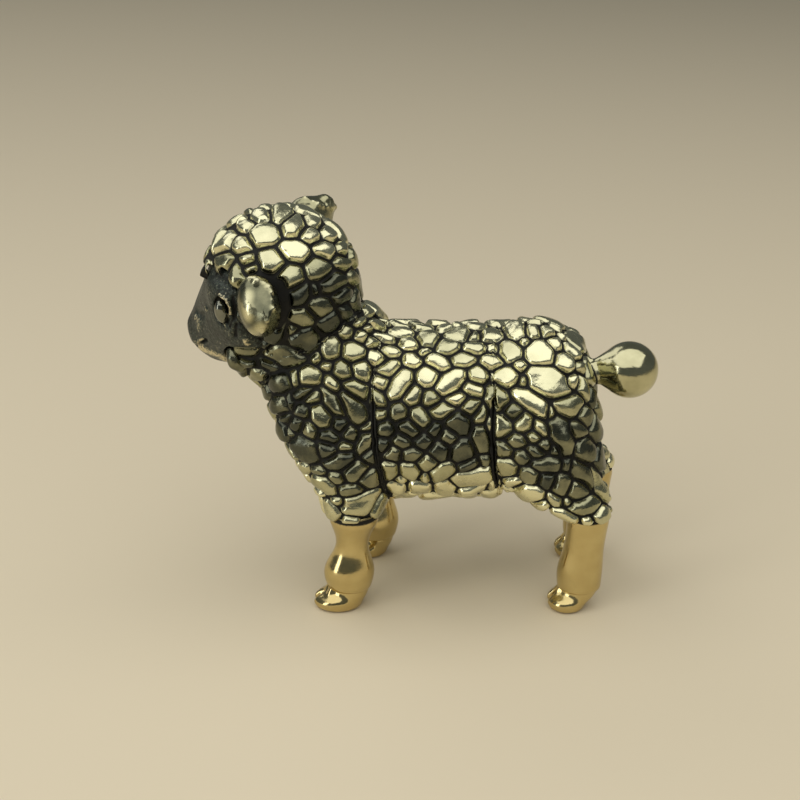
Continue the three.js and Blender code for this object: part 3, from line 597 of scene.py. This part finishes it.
# %% Carve
GROOVE_HALF = {"head": 0.13}
PLAIN_GROOVE_HALF = 0.08
BEVEL = 0.34
GROOVE_DEPTH = 0.44
DOME = 0.2
DOME_REACH = 1.3
LIFT = 0.14
ROUNDING = 0.08
WORN_ROUNDS = 4
OVERHANG = 0.5
BEVEL_POWER = 2.2
DEEPEST_LEAN = -0.15
HIGHEST_LEAN = 0.12
BLACK_SHARE = 0.6
BLACK_FADE = 0.19
NEIGHBOURS = 5
LEAST_SPREAD = 0.15
BATCH = 4000


def soft_minimum(rows, softness):
    return -softness * np.log(sum(np.exp(-row / softness) for row in rows))


def carve(node):
    """Sinks the grooves of one fleece skin, and keeps for each point how deep in a groove it is."""
    mesh = skins[node]
    half = GROOVE_HALF.get(node, PLAIN_GROOVE_HALF)
    points, normals = coordinates(mesh), normals_of(mesh)
    low, high = points.min(axis=0) - FAR, points.max(axis=0) + FAR
    here = np.nonzero(np.all((middles > low) & (middles < high), axis=1))[0]
    heights = np.empty(len(points))
    grooves = np.empty(len(points))
    rub_and_painted_light = np.empty(len(points))
    for start in range(0, len(points), BATCH):
        part = slice(start, start + BATCH)
        away = points[part][:, None, :] - middles[here][None]
        circle = np.einsum("nij,vnj->vni", to_circles[here], away)
        length = np.linalg.norm(circle, axis=2)
        edge = (length - 1) * sizes[here]
        nearest = np.argsort(edge, axis=1)[:, :NEIGHBOURS]
        picked = np.arange(len(nearest))[:, None]
        distance = edge[picked, nearest]
        pull = np.einsum("vkij,vki->vkj", to_circles[here][nearest], circle[picked, nearest])
        pull *= (sizes[here][nearest] / (length[picked, nearest] + 1e-9))[:, :, None]
        spread = np.linalg.norm(pull[:, 1:] - pull[:, :1], axis=2) + LEAST_SPREAD
        to_line = (distance[:, 1:] - distance[:, :1]) / spread
        gap = soft_minimum(list(to_line.T) + [OVERHANG - distance[:, 0], borders[node][part]], ROUNDING)
        rise = np.clip((gap - half) / BEVEL, 0, 1)
        own = nearest[:, 0]
        offset = away[np.arange(len(own)), own]
        lean = np.sum(offset * tips[here][own], axis=1)
        dome = np.clip((gap - half) / DOME_REACH, 0, 1)
        sunk = GROOVE_DEPTH * (1 - rise) ** BEVEL_POWER + DOME * (1 - dome) ** 2
        heights[part] = LIFT + np.clip(lean, DEEPEST_LEAN, HIGHEST_LEAN) * rise - sunk
        grooves[part] = 1 - np.clip((gap - BLACK_SHARE * half) / BLACK_FADE, 0, 1)
        rub_and_painted_light[part] = rubs_and_painted_light[here][own]
    put_coordinates(mesh, points + normals * (heights * outsides[node])[:, None])
    relaxed(mesh, WORN_ROUNDS)
    keep_values(mesh, "groove", grooves)
    keep_values(mesh, "rub_and_painted_light", rub_and_painted_light)


for node in FLEECE:
    carve(node)
print("carved", len(FLEECE), "skins")


# %% [markdown]
# ## Edges that lie on a neighbour
#
# Where a piece runs out on its neighbour its edge is thin, and a remesh leaves thin edges ragged. So the last
# strip is tucked into the neighbour. On the forehead the fleece is then combed down a little over the face,
# as a fringe.

# %% Tuck the edges in
FULL_TUCK = 0.4
FRINGE = 0.6
FRINGE_WIDTH = (0.3, 0.95)
FRINGE_LIMIT = 1.0
FRINGE_ROUNDS = 30
FACE_REACH = 0.55
JOWL_TUCK = 0.42
FOREHEAD_TUCK = 0.58
DOWN_THE_FACE = np.array([-0.82, 0.18, -0.54])


def tuck(mesh, tree, reach, depth):
    """Sinks what lies close to a neighbour into that neighbour."""
    points = coordinates(mesh)
    depths = np.broadcast_to(depth, len(points))
    for index, point in enumerate(points.tolist()):
        _, facing, _, far = tree.find_nearest(point, reach)
        if facing is not None:
            points[index] -= np.array(facing) * depths[index] * (1 - step(FULL_TUCK * reach, reach, far))
    put_coordinates(mesh, points)


def comb_fringe(mesh):
    """Moves the fleece above the eyes down along the face, and tucks its edge in."""
    points = coordinates(mesh)
    high = step(FRINGE_LOW, FRINGE_HIGH, points[:, 2])
    weight = high * (1 - step(*FRINGE_WIDTH, distances(mesh, face_solid, FRINGE_LIMIT)))
    _, facings, _ = nearest_on_envelope(points)
    along = DOWN_THE_FACE - (facings @ DOWN_THE_FACE)[:, None] * facings
    tuck(mesh, face_solid, FACE_REACH, JOWL_TUCK + FOREHEAD_TUCK * high)
    combed = coordinates(mesh) + along * (FRINGE * weight)[:, None]
    put_coordinates(mesh, combed)
    smooth = coordinates(relaxed(mesh, FRINGE_ROUNDS))
    put_coordinates(mesh, combed + weight[:, None] * (smooth - combed))


comb_fringe(skins["head"])
print("fringe combed over the forehead")

# %% [markdown]
# ## Sculpting strokes for the bare pieces
#
# The face, the jowls, the ears and the toes are shaped with strokes, as a modeller pulls a tool over wax. A
# stroke is a line on the skin, mostly a row of pixels laid there, with a width and a height: a raised ridge
# if it is positive, a groove if negative. It can also leave the place dark, or brighten its colour: as
# rubbed metal on the eyelids, and as painted highlights, painted glints and a painted reflection of the
# floor on the nose, lips, cheeks, chin, ears and beads. The strokes of the face and the jowls and the beads
# of the ear are mirrored across the head's own middle.

# %% Lay and mirror strokes
HEAD_MIDDLE = np.array([-13.793, 0.990, 34.2])
HEAD_TURN = math.radians(13)
HEAD_ROLL = math.radians(12)
BARE_TUCK = 0.8
SEAM_DARK = 0.42
SEAM_FADE = 0.3
head_side = np.array([
    math.cos(HEAD_ROLL) * math.sin(HEAD_TURN),
    math.cos(HEAD_ROLL) * math.cos(HEAD_TURN),
    math.sin(HEAD_ROLL),
])


def across_head(points):
    """The same points on the other side of the head."""
    return points - 2 * ((points - HEAD_MIDDLE) @ head_side)[:, None] * head_side


def laid_on(tree, pixels):
    """The points of a skin under a row of pixels."""
    line = []
    for u, v in pixels:
        place = tree.ray_cast(Vector(EYE_POINT), Vector(sight(u, v)))[0]
        if place is not None:
            line.append(np.array(place))
    return np.array(line)


def raise_values(mesh, name, values):
    """Lifts a point attribute to at least the given values."""
    old = np.empty(len(mesh.vertices), np.float32)
    mesh.attributes[name].data.foreach_get("value", old)
    mesh.attributes[name].data.foreach_set("value", np.maximum(old, values).astype(np.float32))


def stroke(mesh, line, width, height, darken=0.0, rub_and_painted_light=0.0):
    """Raises or sinks the skin along a line, and darkens it there, or brightens its colour as rubbed metal
    and as painted highlights and reflections.
    """
    points = coordinates(mesh)
    if len(line) == 1:
        line = np.vstack([line, line + 1e-4])
    weight = np.exp(-(distance_to_line(points, line) / width) ** 2)
    put_coordinates(mesh, points + normals_of(mesh) * (height * weight)[:, None])
    raise_values(mesh, "groove", darken * weight)
    raise_values(mesh, "rub_and_painted_light", rub_and_painted_light * weight)


def bare_skin(node, voxel, rounds, rub_and_painted_light, into=None, beside=None):
    """A smooth skin, tucked into a neighbour if one is given, and dark right beside the named pieces."""
    mesh = dense_skin(node, voxel, rounds)
    if into:
        tuck(mesh, into, BARE_TUCK, BARE_TUCK)
    beside = beside or [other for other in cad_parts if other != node]
    near = distances(mesh, solid_tree(beside), SEAM_REACH)
    keep_values(mesh, "groove", np.clip((SEAM_DARK - near) / SEAM_FADE, 0, 1))
    keep_values(mesh, "rub_and_painted_light", np.full(len(near), rub_and_painted_light))
    return mesh


# %% The face
FACE_ROUNDS = 45
FACE_RUB = 0.14
face = bare_skin("face", FACE_VOXEL, FACE_ROUNDS, FACE_RUB)
face_tree = tree_of(face)
EYE_RING = [
    (220, 297), (216, 302), (215, 310), (217, 318), (224, 325),
    (228, 320), (229, 311), (226, 302), (220, 297),
]
EYE_LID = [(221, 294), (227, 299), (231, 306), (232, 313), (229, 321), (226, 325)]
FACE_STROKES = [
    ([(204, 272), (212, 273), (221, 275), (231, 279)], 0.75, -0.45, 0.6, 0.0),
    (EYE_RING, 0.2, -0.22, 1.0, 0.0),
    # The raised lid is rubbed bright, and the same bright colour paints its highlight.
    (EYE_LID, 0.16, 0.42, 0.0, 1.0),
    ([(233, 298), (235, 308), (234, 318), (229, 327)], 0.2, -0.2, 1.0, 0.0),
    ([(191, 311), (196, 313), (203, 315)], 0.45, -0.28, 0.0, 0.0),
    ([(190, 323), (191, 331), (193, 337)], 0.85, 0.26, 0.0, 0.0),
    # Painted highlights on the nose: a pale patch and two glints.
    ([(197, 318), (200, 323), (199, 328)], 0.5, 0.16, 0.0, 0.75),
    ([(195, 315), (196, 319)], 0.2, 0.14, 0.0, 1.0),
    ([(206, 307), (207, 310)], 0.2, 0.14, 0.0, 1.0),
    ([(192, 343), (197, 345), (203, 342), (206, 340)], 0.18, -0.36, 1.0, 0.0),
    # A painted highlight on the upper lip, then a painted reflection of the floor under the chin.
    ([(192, 339), (198, 341), (203, 338)], 0.15, 0.16, 0.0, 1.0),
    ([(199, 346), (206, 350), (213, 353), (221, 356), (228, 357)], 0.75, 0.1, 0.0, 1.0),
    ([(236, 325), (235, 336), (233, 348), (232, 360)], 0.25, -0.34, 1.0, 0.0),
    # Painted highlights on the cheek: a spot and a rim.
    ([(245, 340), (247, 344)], 0.3, 0.16, 0.0, 1.0),
    ([(243, 359), (250, 358), (256, 353)], 0.16, 0.16, 0.0, 0.9),
]
for pixels, width, height, darken, rub_and_painted_light in FACE_STROKES:
    line = laid_on(face_tree, pixels)
    if len(line):
        stroke(face, line, width, height, darken, rub_and_painted_light)
        stroke(face, across_head(line), width, height, darken, rub_and_painted_light)
print("face points:", len(face.vertices))

# %% Fuller jowls
JOWL = [(233, 350), (233, 356), (235, 363)]
JOWL_WIDTH = 0.75
JOWL_RISE = 0.6
near_jowl = laid_on(tree_of(skins["head"]), JOWL)
for jowl in (near_jowl, across_head(near_jowl)):
    stroke(skins["head"], jowl, JOWL_WIDTH, JOWL_RISE)
print("jowl points:", len(near_jowl))

# %% Ears with a beaded back edge
EAR_ROUNDS = 45
# The near ear starts darker than the far one, as painted shade, which the strokes below break with painted
# highlights.
EAR_PAINTED_SHADE = {"left": 0.1, "right": 0.35}
BEAD_RISE = 0.8
ears = {}
for side, rub_and_painted_light in EAR_PAINTED_SHADE.items():
    ears[side] = bare_skin("ear_" + side, SMALL_VOXEL, EAR_ROUNDS, rub_and_painted_light, envelope_tree)
EAR_BEADS = [
    (256, 280, 0.40), (264, 282, 0.26), (269, 286, 0.42), (272, 292, 0.30), (273, 299, 0.22),
    (274, 308, 0.38), (272, 316, 0.22), (269, 323, 0.34), (262, 331, 0.26),
]
EAR_STROKES = [
    ([(257, 292), (260, 304), (260, 316)], 1.3, -0.6, 0.0),
    # Painted highlights: the bright band on the left, the top rim and a spot; then a painted reflection of
    # the floor along the lower edge.
    ([(247, 294), (245, 304), (247, 316)], 0.6, 0.1, 0.95),
    ([(240, 283), (248, 278), (258, 278)], 0.35, 0.12, 1.0),
    ([(250, 303), (252, 307)], 0.3, 0.14, 1.0),
    ([(244, 329), (253, 333), (262, 328)], 0.6, 0.12, 0.7),
]
left_ear_tree = tree_of(ears["left"])
for pixels, width, height, rub_and_painted_light in EAR_STROKES:
    stroke(ears["left"], laid_on(left_ear_tree, pixels), width, height, 0.0, rub_and_painted_light)
for u, v, size in EAR_BEADS:
    bead = laid_on(left_ear_tree, [(u, v)])
    if len(bead):
        # Each bead is raised and set to the brightest level, as a painted glint.
        stroke(ears["left"], bead, size, BEAD_RISE * size, 0.0, 1.0)
        stroke(ears["right"], across_head(bead), size, BEAD_RISE * size, 0.0, 1.0)
right_ear_tree = tree_of(ears["right"])
FAR_EAR_STROKES = [
    ([(325, 200), (328, 202)], 0.7, 0.6),
    ([(301, 201), (308, 198)], 0.8, -0.3),
]
for pixels, width, height in FAR_EAR_STROKES:
    stroke(ears["right"], laid_on(right_ear_tree, pixels), width, height)
print("ear points:", [len(ear.vertices) for ear in ears.values()])

# %% Eyes and tail
EYE_VOXEL = 0.05
EYE_ROUNDS = 25
EYE_RUB = 0.5
TAIL_ROUNDS = 70
POLISHED_RUB = 0.6
eyes = {side: bare_skin("eye_" + side, EYE_VOXEL, EYE_ROUNDS, EYE_RUB) for side in ("left", "right")}
tail = bare_skin("tail", SMALL_VOXEL, TAIL_ROUNDS, POLISHED_RUB, envelope_tree)
print("tail points:", len(tail.vertices))

# %% [markdown]
# ## Legs and hooves
#
# The bare lower legs are plain polished forms, black where they come out of the fleece. The hooves run out
# softly on the legs and are split at the toe.

# %% Legs and hooves
LEG_VOXEL = 0.1
SHANK_ROUNDS = 45
HOOF_ROUNDS = 16
SETTLED_ROUNDS = 40
CLEFT = [(0.0, 0.0), (0.2, 0.8), (1.1, 1.5)]
CLEFT_WIDTH = 0.2
CLEFT_RISE = -0.3
LEGS = [(end, side) for end in ("fore", "hind") for side in ("left", "right")]
shanks = {}
hooves = {}
for leg in LEGS:
    shank, name = "{}_shank_{}".format(*leg), "{}_hoof_{}".format(*leg)
    shanks[leg] = bare_skin(shank, LEG_VOXEL, SHANK_ROUNDS, POLISHED_RUB, envelope_tree, FLEECE)
    hoof = bare_skin(name, LEG_VOXEL, HOOF_ROUNDS, POLISHED_RUB, solid_tree([shank]), FLEECE)
    relaxed(hoof, SETTLED_ROUNDS)
    low, high = [np.array(corner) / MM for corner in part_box(name)]
    middle_y = (low[1] + high[1]) / 2
    cleft = np.array([[low[0] + back, middle_y, height] for back, height in CLEFT])
    stroke(hoof, cleft, CLEFT_WIDTH, CLEFT_RISE, 1.0)
    hooves[leg] = hoof
print("hoof points:", [len(hoof.vertices) for hoof in hooves.values()])


# %% [markdown]
# ## Shared finishes
#
# Antiqued brass is made by blackening the whole casting and then polishing it: the black stays in the
# hollows and the high places shine. Two node groups hold what every piece shares. The first puts the tarnish
# into the grooves with an uneven edge. The second gives the marks of the polishing: soft hammer dents, fine
# scratches and a roughness that changes from place to place. The scales of their noises count waves per
# metre.

# %% Node helpers
def add(tree, kind, **settings):
    node = tree.nodes.new(kind)
    for name, value in settings.items():
        setattr(node, name, value)
    return node


def noise(tree, where, scale, detail=3.0, roughness=0.55):
    node = add(tree, "ShaderNodeTexNoise")
    node.inputs["Scale"].default_value = scale
    node.inputs["Detail"].default_value = detail
    node.inputs["Roughness"].default_value = roughness
    tree.links.new(where, node.inputs["Vector"])
    return node.outputs["Fac"]


def calculate(tree, operation, first, second, clamp=False):
    node = add(tree, "ShaderNodeMath", operation=operation, use_clamp=clamp)
    for socket, value in zip(node.inputs, (first, second)):
        if isinstance(value, (int, float)):
            socket.default_value = value
        else:
            tree.links.new(value, socket)
    return node.outputs["Value"]


def remap(tree, value, low, high, to_low, to_high):
    node = add(tree, "ShaderNodeMapRange", interpolation_type="SMOOTHSTEP")
    for name, number in (("From Min", low), ("From Max", high), ("To Min", to_low), ("To Max", to_high)):
        node.inputs[name].default_value = number
    tree.links.new(value, node.inputs["Value"])
    return node.outputs["Result"]


def blend_colours(tree, share, first, second, way="MIX"):
    node = add(tree, "ShaderNodeMix", data_type="RGBA", blend_type=way)
    for name, value in (("Factor", share), ("A", first), ("B", second)):
        socket = [s for s in node.inputs if s.name == name and s.enabled][0]
        if isinstance(value, (tuple, float, int)):
            socket.default_value = value
        else:
            tree.links.new(value, socket)
    return [s for s in node.outputs if s.enabled][0]


def new_group(name, inputs, outputs):
    tree = bpy.data.node_groups.new(name, "ShaderNodeTree")
    for label, kind in inputs:
        tree.interface.new_socket(name=label, in_out="INPUT", socket_type=kind)
    for label, kind in outputs:
        tree.interface.new_socket(name=label, in_out="OUTPUT", socket_type=kind)
    return tree, add(tree, "NodeGroupInput"), add(tree, "NodeGroupOutput")


# %% Tarnish in the hollows
RAGGED_SCALE = 2600
RAGGEDNESS = 0.55
COVER_EDGE = (0.32, 0.78)
tarnish, ins, outs = new_group(
    "tarnish_in_hollows",
    [("Groove", "NodeSocketFloat"), ("Metal", "NodeSocketColor"), ("Tarnish", "NodeSocketColor")],
    [("Color", "NodeSocketColor"), ("Cover", "NodeSocketFloat")],
)
place = add(tarnish, "ShaderNodeTexCoord").outputs["Object"]
ragged = calculate(tarnish, "SUBTRACT", noise(tarnish, place, RAGGED_SCALE, 4.0, 0.65), 0.5)
edge = calculate(tarnish, "ADD", ins.outputs["Groove"], calculate(tarnish, "MULTIPLY", ragged, RAGGEDNESS))
cover = remap(tarnish, edge, *COVER_EDGE, 0.0, 1.0)
tarnish.links.new(cover, outs.inputs["Cover"])
covered = blend_colours(tarnish, cover, ins.outputs["Metal"], ins.outputs["Tarnish"])
tarnish.links.new(covered, outs.inputs["Color"])

# %% Marks of the polishing
DENT_SCALE = 800
SMALL_DENT_SCALE = 2400
SMALL_DENTS = 0.4
SCRATCH_SCALE = 9000
SCRATCH_TURN = (0.4, 0.7, 0.3)
SCRATCH_STRETCH = (0.06, 1.0, 1.0)
HAZE_SCALE = 420
HAZE_SHARES = (0.7, 0.3)
polish, ins, outs = new_group(
    "polishing_marks",
    [("Dents", "NodeSocketFloat"), ("Scratches", "NodeSocketFloat")],
    [("Height", "NodeSocketFloat"), ("Haze", "NodeSocketFloat")],
)
place = add(polish, "ShaderNodeTexCoord").outputs["Object"]
small_dents = calculate(polish, "MULTIPLY", noise(polish, place, SMALL_DENT_SCALE, 2.0, 0.5), SMALL_DENTS)
hammered = calculate(polish, "ADD", noise(polish, place, DENT_SCALE, 2.0, 0.5), small_dents)
dents = calculate(polish, "MULTIPLY", hammered, ins.outputs["Dents"])
stretch = add(polish, "ShaderNodeMapping")
stretch.inputs["Rotation"].default_value = SCRATCH_TURN
stretch.inputs["Scale"].default_value = SCRATCH_STRETCH
polish.links.new(place, stretch.inputs["Vector"])
lines = noise(polish, stretch.outputs["Vector"], SCRATCH_SCALE, 2.0, 0.5)
scratches = calculate(polish, "MULTIPLY", lines, ins.outputs["Scratches"])
polish.links.new(calculate(polish, "ADD", dents, scratches), outs.inputs["Height"])
cloudy = calculate(polish, "MULTIPLY", noise(polish, place, HAZE_SCALE, 4.0, 0.6), HAZE_SHARES[0])
scratched = calculate(polish, "MULTIPLY", lines, HAZE_SHARES[1])
polish.links.new(calculate(polish, "ADD", cloudy, scratched), outs.inputs["Haze"])
print("shared finishes:", [group.name for group in bpy.data.node_groups])


# %% [markdown]
# ## The brass finishes
#
# Cobbled brass is olive-gold with a tint that changes from cobble to cobble, partly at random and partly as
# painted
# light: pale tops, warm undersides and dark flanks. The ears are an olive brass, the near one dark as painted
# shade with painted highlights over it, the tail the same brass with a mirror polish, and the legs a warmer,
# golden one, black only at the fleece. The eyes are dark polished beads. Blackened brass covers the face: a
# dark grey-green coat with a fine grain and speckles, rubbed through to the metal on the raised lids, which
# also paints their highlight, and painted bright on the nose, the lips and the cheeks as highlights and under
# the chin as a reflection of the floor. Metal takes its light from what it mirrors, while the coat is mostly
# plain dark colour.

# %% Build a brass finish
CLOUD_SCALE = 500
CLOUDINESS = 0.7
SPECKLE_SCALE = 4600
GRAIN_SCALE = 3600
HAZE_RANGE = (0.3, 0.75)
TARNISH_DULLNESS = 0.45
TARNISH_METAL = 0.35
RUBBED_THROUGH = (0.4, 0.8)
BUMP_METRES = 0.0001


def brass(name, stops, shine, dents, scratches, grain=0.0, speckle=0.0, coat=1.0):
    """A brass finish.

    The stops are colours from the least to the most rubbed places, and on the cobbles, the ears and the face
    also from painted shade to painted highlight; the shine is the range of roughness, and the coat says how
    metallic the least rubbed places are.
    """
    material = bpy.data.materials.new(name)
    material.use_nodes = True
    tree = material.node_tree
    surface = tree.nodes["Principled BSDF"]
    place = add(tree, "ShaderNodeTexCoord").outputs["Object"]
    groove = add(tree, "ShaderNodeAttribute", attribute_name="groove").outputs["Fac"]
    rub_and_painted_light = add(tree, "ShaderNodeAttribute", attribute_name="rub_and_painted_light").outputs["Fac"]
    clouds = calculate(tree, "SUBTRACT", noise(tree, place, CLOUD_SCALE, 4.0), 0.5)
    cloudy = calculate(tree, "MULTIPLY", clouds, CLOUDINESS)
    if speckle:
        dots = calculate(tree, "SUBTRACT", noise(tree, place, SPECKLE_SCALE, 1.0, 0.6), 0.5)
        cloudy = calculate(tree, "ADD", cloudy, calculate(tree, "MULTIPLY", dots, speckle))
    ramp = add(tree, "ShaderNodeValToRGB")
    while len(ramp.color_ramp.elements) < len(stops):
        ramp.color_ramp.elements.new(0.5)
    for index, colour in enumerate(stops):
        ramp.color_ramp.elements[index].position = index / (len(stops) - 1)
        ramp.color_ramp.elements[index].color = colour
    # The rub attribute and the clouds: wear and random tone, and on the cobbles, the ears and the face also
    # painted shade, painted highlights and painted reflections.
    worn_and_painted_light = calculate(tree, "ADD", rub_and_painted_light, cloudy, True)
    tree.links.new(worn_and_painted_light, ramp.inputs["Fac"])
    hollows = add(tree, "ShaderNodeGroup", node_tree=tarnish)
    hollows.inputs["Tarnish"].default_value = TARNISH
    tree.links.new(groove, hollows.inputs["Groove"])
    tree.links.new(ramp.outputs["Color"], hollows.inputs["Metal"])
    marks = add(tree, "ShaderNodeGroup", node_tree=polish)
    marks.inputs["Dents"].default_value = dents
    marks.inputs["Scratches"].default_value = scratches
    tree.links.new(hollows.outputs["Color"], surface.inputs["Base Color"])
    polished = remap(tree, marks.outputs["Haze"], *HAZE_RANGE, *shine)
    dull = calculate(tree, "MULTIPLY", hollows.outputs["Cover"], TARNISH_DULLNESS)
    tree.links.new(calculate(tree, "ADD", polished, dull, True), surface.inputs["Roughness"])
    bare = remap(tree, hollows.outputs["Cover"], 0.0, 1.0, 1.0, TARNISH_METAL)
    metallic = calculate(tree, "MULTIPLY", bare, remap(tree, worn_and_painted_light, *RUBBED_THROUGH, coat, 1.0))
    tree.links.new(metallic, surface.inputs["Metallic"])
    height = marks.outputs["Height"]
    if grain:
        fine = calculate(tree, "MULTIPLY", noise(tree, place, GRAIN_SCALE, 3.0, 0.6), grain)
        height = calculate(tree, "ADD", height, fine)
    bump = add(tree, "ShaderNodeBump")
    bump.inputs["Strength"].default_value = 1.0
    bump.inputs["Distance"].default_value = BUMP_METRES
    tree.links.new(height, bump.inputs["Height"])
    tree.links.new(bump.outputs["Normal"], surface.inputs["Normal"])
    return material


# %% The finishes
TARNISH = (0.008, 0.008, 0.006, 1.0)
# Where the cobbles, the ears and the face use them, these stops run from painted shade to painted highlight;
# the legs, the tail and the eyes use one plain tone of theirs.
COBBLE_TONES = [(0.085, 0.09, 0.068, 1.0), (0.42, 0.41, 0.25, 1.0), (0.82, 0.79, 0.52, 1.0)]
OLIVE_TONES = [(0.10, 0.105, 0.07, 1.0), (0.46, 0.44, 0.27, 1.0), (0.74, 0.70, 0.46, 1.0)]
GOLDEN_TONES = [(0.34, 0.27, 0.12, 1.0), (0.58, 0.46, 0.21, 1.0), (0.72, 0.60, 0.30, 1.0)]
BEAD_TONES = [(0.06, 0.065, 0.055, 1.0), (0.20, 0.205, 0.17, 1.0), (0.40, 0.39, 0.30, 1.0)]
DARK_TONES = [(0.012, 0.016, 0.012, 1.0), (0.056, 0.072, 0.055, 1.0), (0.74, 0.66, 0.44, 1.0)]
cobbled_brass = brass("cobbled_brass", COBBLE_TONES, (0.15, 0.34), 0.7, 0.05)
olive_brass = brass("olive_brass", OLIVE_TONES, (0.18, 0.36), 0.5, 0.04)
mirror_brass = brass("mirror_brass", OLIVE_TONES, (0.08, 0.22), 0.25, 0.05)
golden_brass = brass("golden_brass", GOLDEN_TONES, (0.1, 0.26), 0.12, 0.02)
bead_brass = brass("bead_brass", BEAD_TONES, (0.1, 0.2), 0.1, 0.03)
blackened_brass = brass("blackened_brass", DARK_TONES, (0.34, 0.5), 0.3, 0.0, 1.6, speckle=2.1, coat=0.3)
print("finishes:", [material.name for material in bpy.data.materials if material.name.endswith("brass")])


# %% [markdown]
# ## Setting the pieces down
#
# Each skin goes back from millimetres to metres, takes its finish, and stands in for the solid of the same
# name. Nothing on this lamb moves, so every piece rides on the one body.

# %% Set down every piece
def set_down(mesh, node, finish):
    mesh.transform(Matrix.Scale(MM, 4))
    for polygon in mesh.polygons:
        polygon.use_smooth = True
    mesh.materials.append(finish)
    piece = bpy.data.objects.new("lamb_" + node, mesh)
    bpy.context.scene.collection.objects.link(piece)
    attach(piece, "root")
    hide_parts(node)
    return piece


pieces = [set_down(skin, node, cobbled_brass) for node, skin in skins.items()]
pieces.append(set_down(face, "face", blackened_brass))
pieces.append(set_down(tail, "tail", mirror_brass))
for side in ("left", "right"):
    pieces.append(set_down(ears[side], "ear_" + side, olive_brass))
    pieces.append(set_down(eyes[side], "eye_" + side, bead_brass))
for leg in LEGS:
    pieces.append(set_down(shanks[leg], "{}_shank_{}".format(*leg), golden_brass))
    pieces.append(set_down(hooves[leg], "{}_hoof_{}".format(*leg), golden_brass))
print("pieces:", len(pieces), "quads:", {piece.name: len(piece.data.polygons) for piece in pieces})

# %% [markdown]
# ## Stage and light
#
# The lamb stands on a plain cream floor under one large soft light overhead, a little towards the camera. A
# weaker panel hangs behind it, and a small window on the left draws the upright highlights on the ear and
# the ankles; on the ear a painted highlight adds to it. The lamps themselves are hidden from the camera.
# Polished metal shows the room it stands in: the bright overhead panel lights the tops of the cobbles, the
# dim surroundings darken the sides, and the floor warms the undersides. The colours of the cobbles add the
# same
# again as painted light: painted highlights on the tops, painted shade on the sides and a painted reflection
# of the floor underneath.

# %% Floor
FLOOR_HALF = 2.0
FLOOR_COLOUR = (0.78, 0.68, 0.50, 1.0)
FLOOR_ROUGHNESS = 0.75
floor_corners = [(x * FLOOR_HALF, y * FLOOR_HALF, 0) for x, y in ((-1, -1), (1, -1), (1, 1), (-1, 1))]
floor_mesh = bpy.data.meshes.new("floor")
floor_mesh.from_pydata(floor_corners, [], [(0, 1, 2, 3)])
floor = bpy.data.objects.new("floor", floor_mesh)
bpy.context.scene.collection.objects.link(floor)
cream = bpy.data.materials.new("cream_floor")
cream.use_nodes = True
cream_surface = cream.node_tree.nodes["Principled BSDF"]
cream_surface.inputs["Base Color"].default_value = FLOOR_COLOUR
cream_surface.inputs["Roughness"].default_value = FLOOR_ROUGHNESS
floor_mesh.materials.append(cream)
print("floor:", 2 * FLOOR_HALF, "m square")


# %% Lights and surroundings
def soft_light(name, place, aim, size, watts, colour):
    lamp = bpy.data.lights.new(name, "AREA")
    lamp.shape = "RECTANGLE"
    lamp.size, lamp.size_y = size
    lamp.energy = watts
    lamp.color = colour
    holder = bpy.data.objects.new(name, lamp)
    bpy.context.scene.collection.objects.link(holder)
    holder.visible_camera = False
    holder.location = place
    holder.rotation_euler = (Vector(aim) - Vector(place)).to_track_quat("-Z", "Y").to_euler()


ROOM_COLOUR = (0.11, 0.12, 0.12, 1.0)
soft_light("overhead_panel", (-0.04, -0.16, 0.30), (-0.04, -0.16, 0.0), (0.75, 0.57), 1.65, (1.0, 0.98, 0.93))
soft_light("back_left_panel", (-0.26, 0.34, 0.32), (0, 0, 0.03), (0.30, 0.22), 0.24, (1.0, 0.98, 0.94))
soft_light("left_window", (-0.34, -0.20, 0.10), (-0.014, -0.005, 0.03), (0.12, 0.22), 0.26, (1.0, 1.0, 0.98))
surroundings = bpy.data.worlds.new("dim_room")
surroundings.use_nodes = True
surroundings.node_tree.nodes["Background"].inputs["Color"].default_value = ROOM_COLOUR
bpy.context.scene.world = surroundings
bpy.context.scene.view_settings.view_transform = "Standard"
print("lamps:", [lamp.name for lamp in bpy.data.lights])
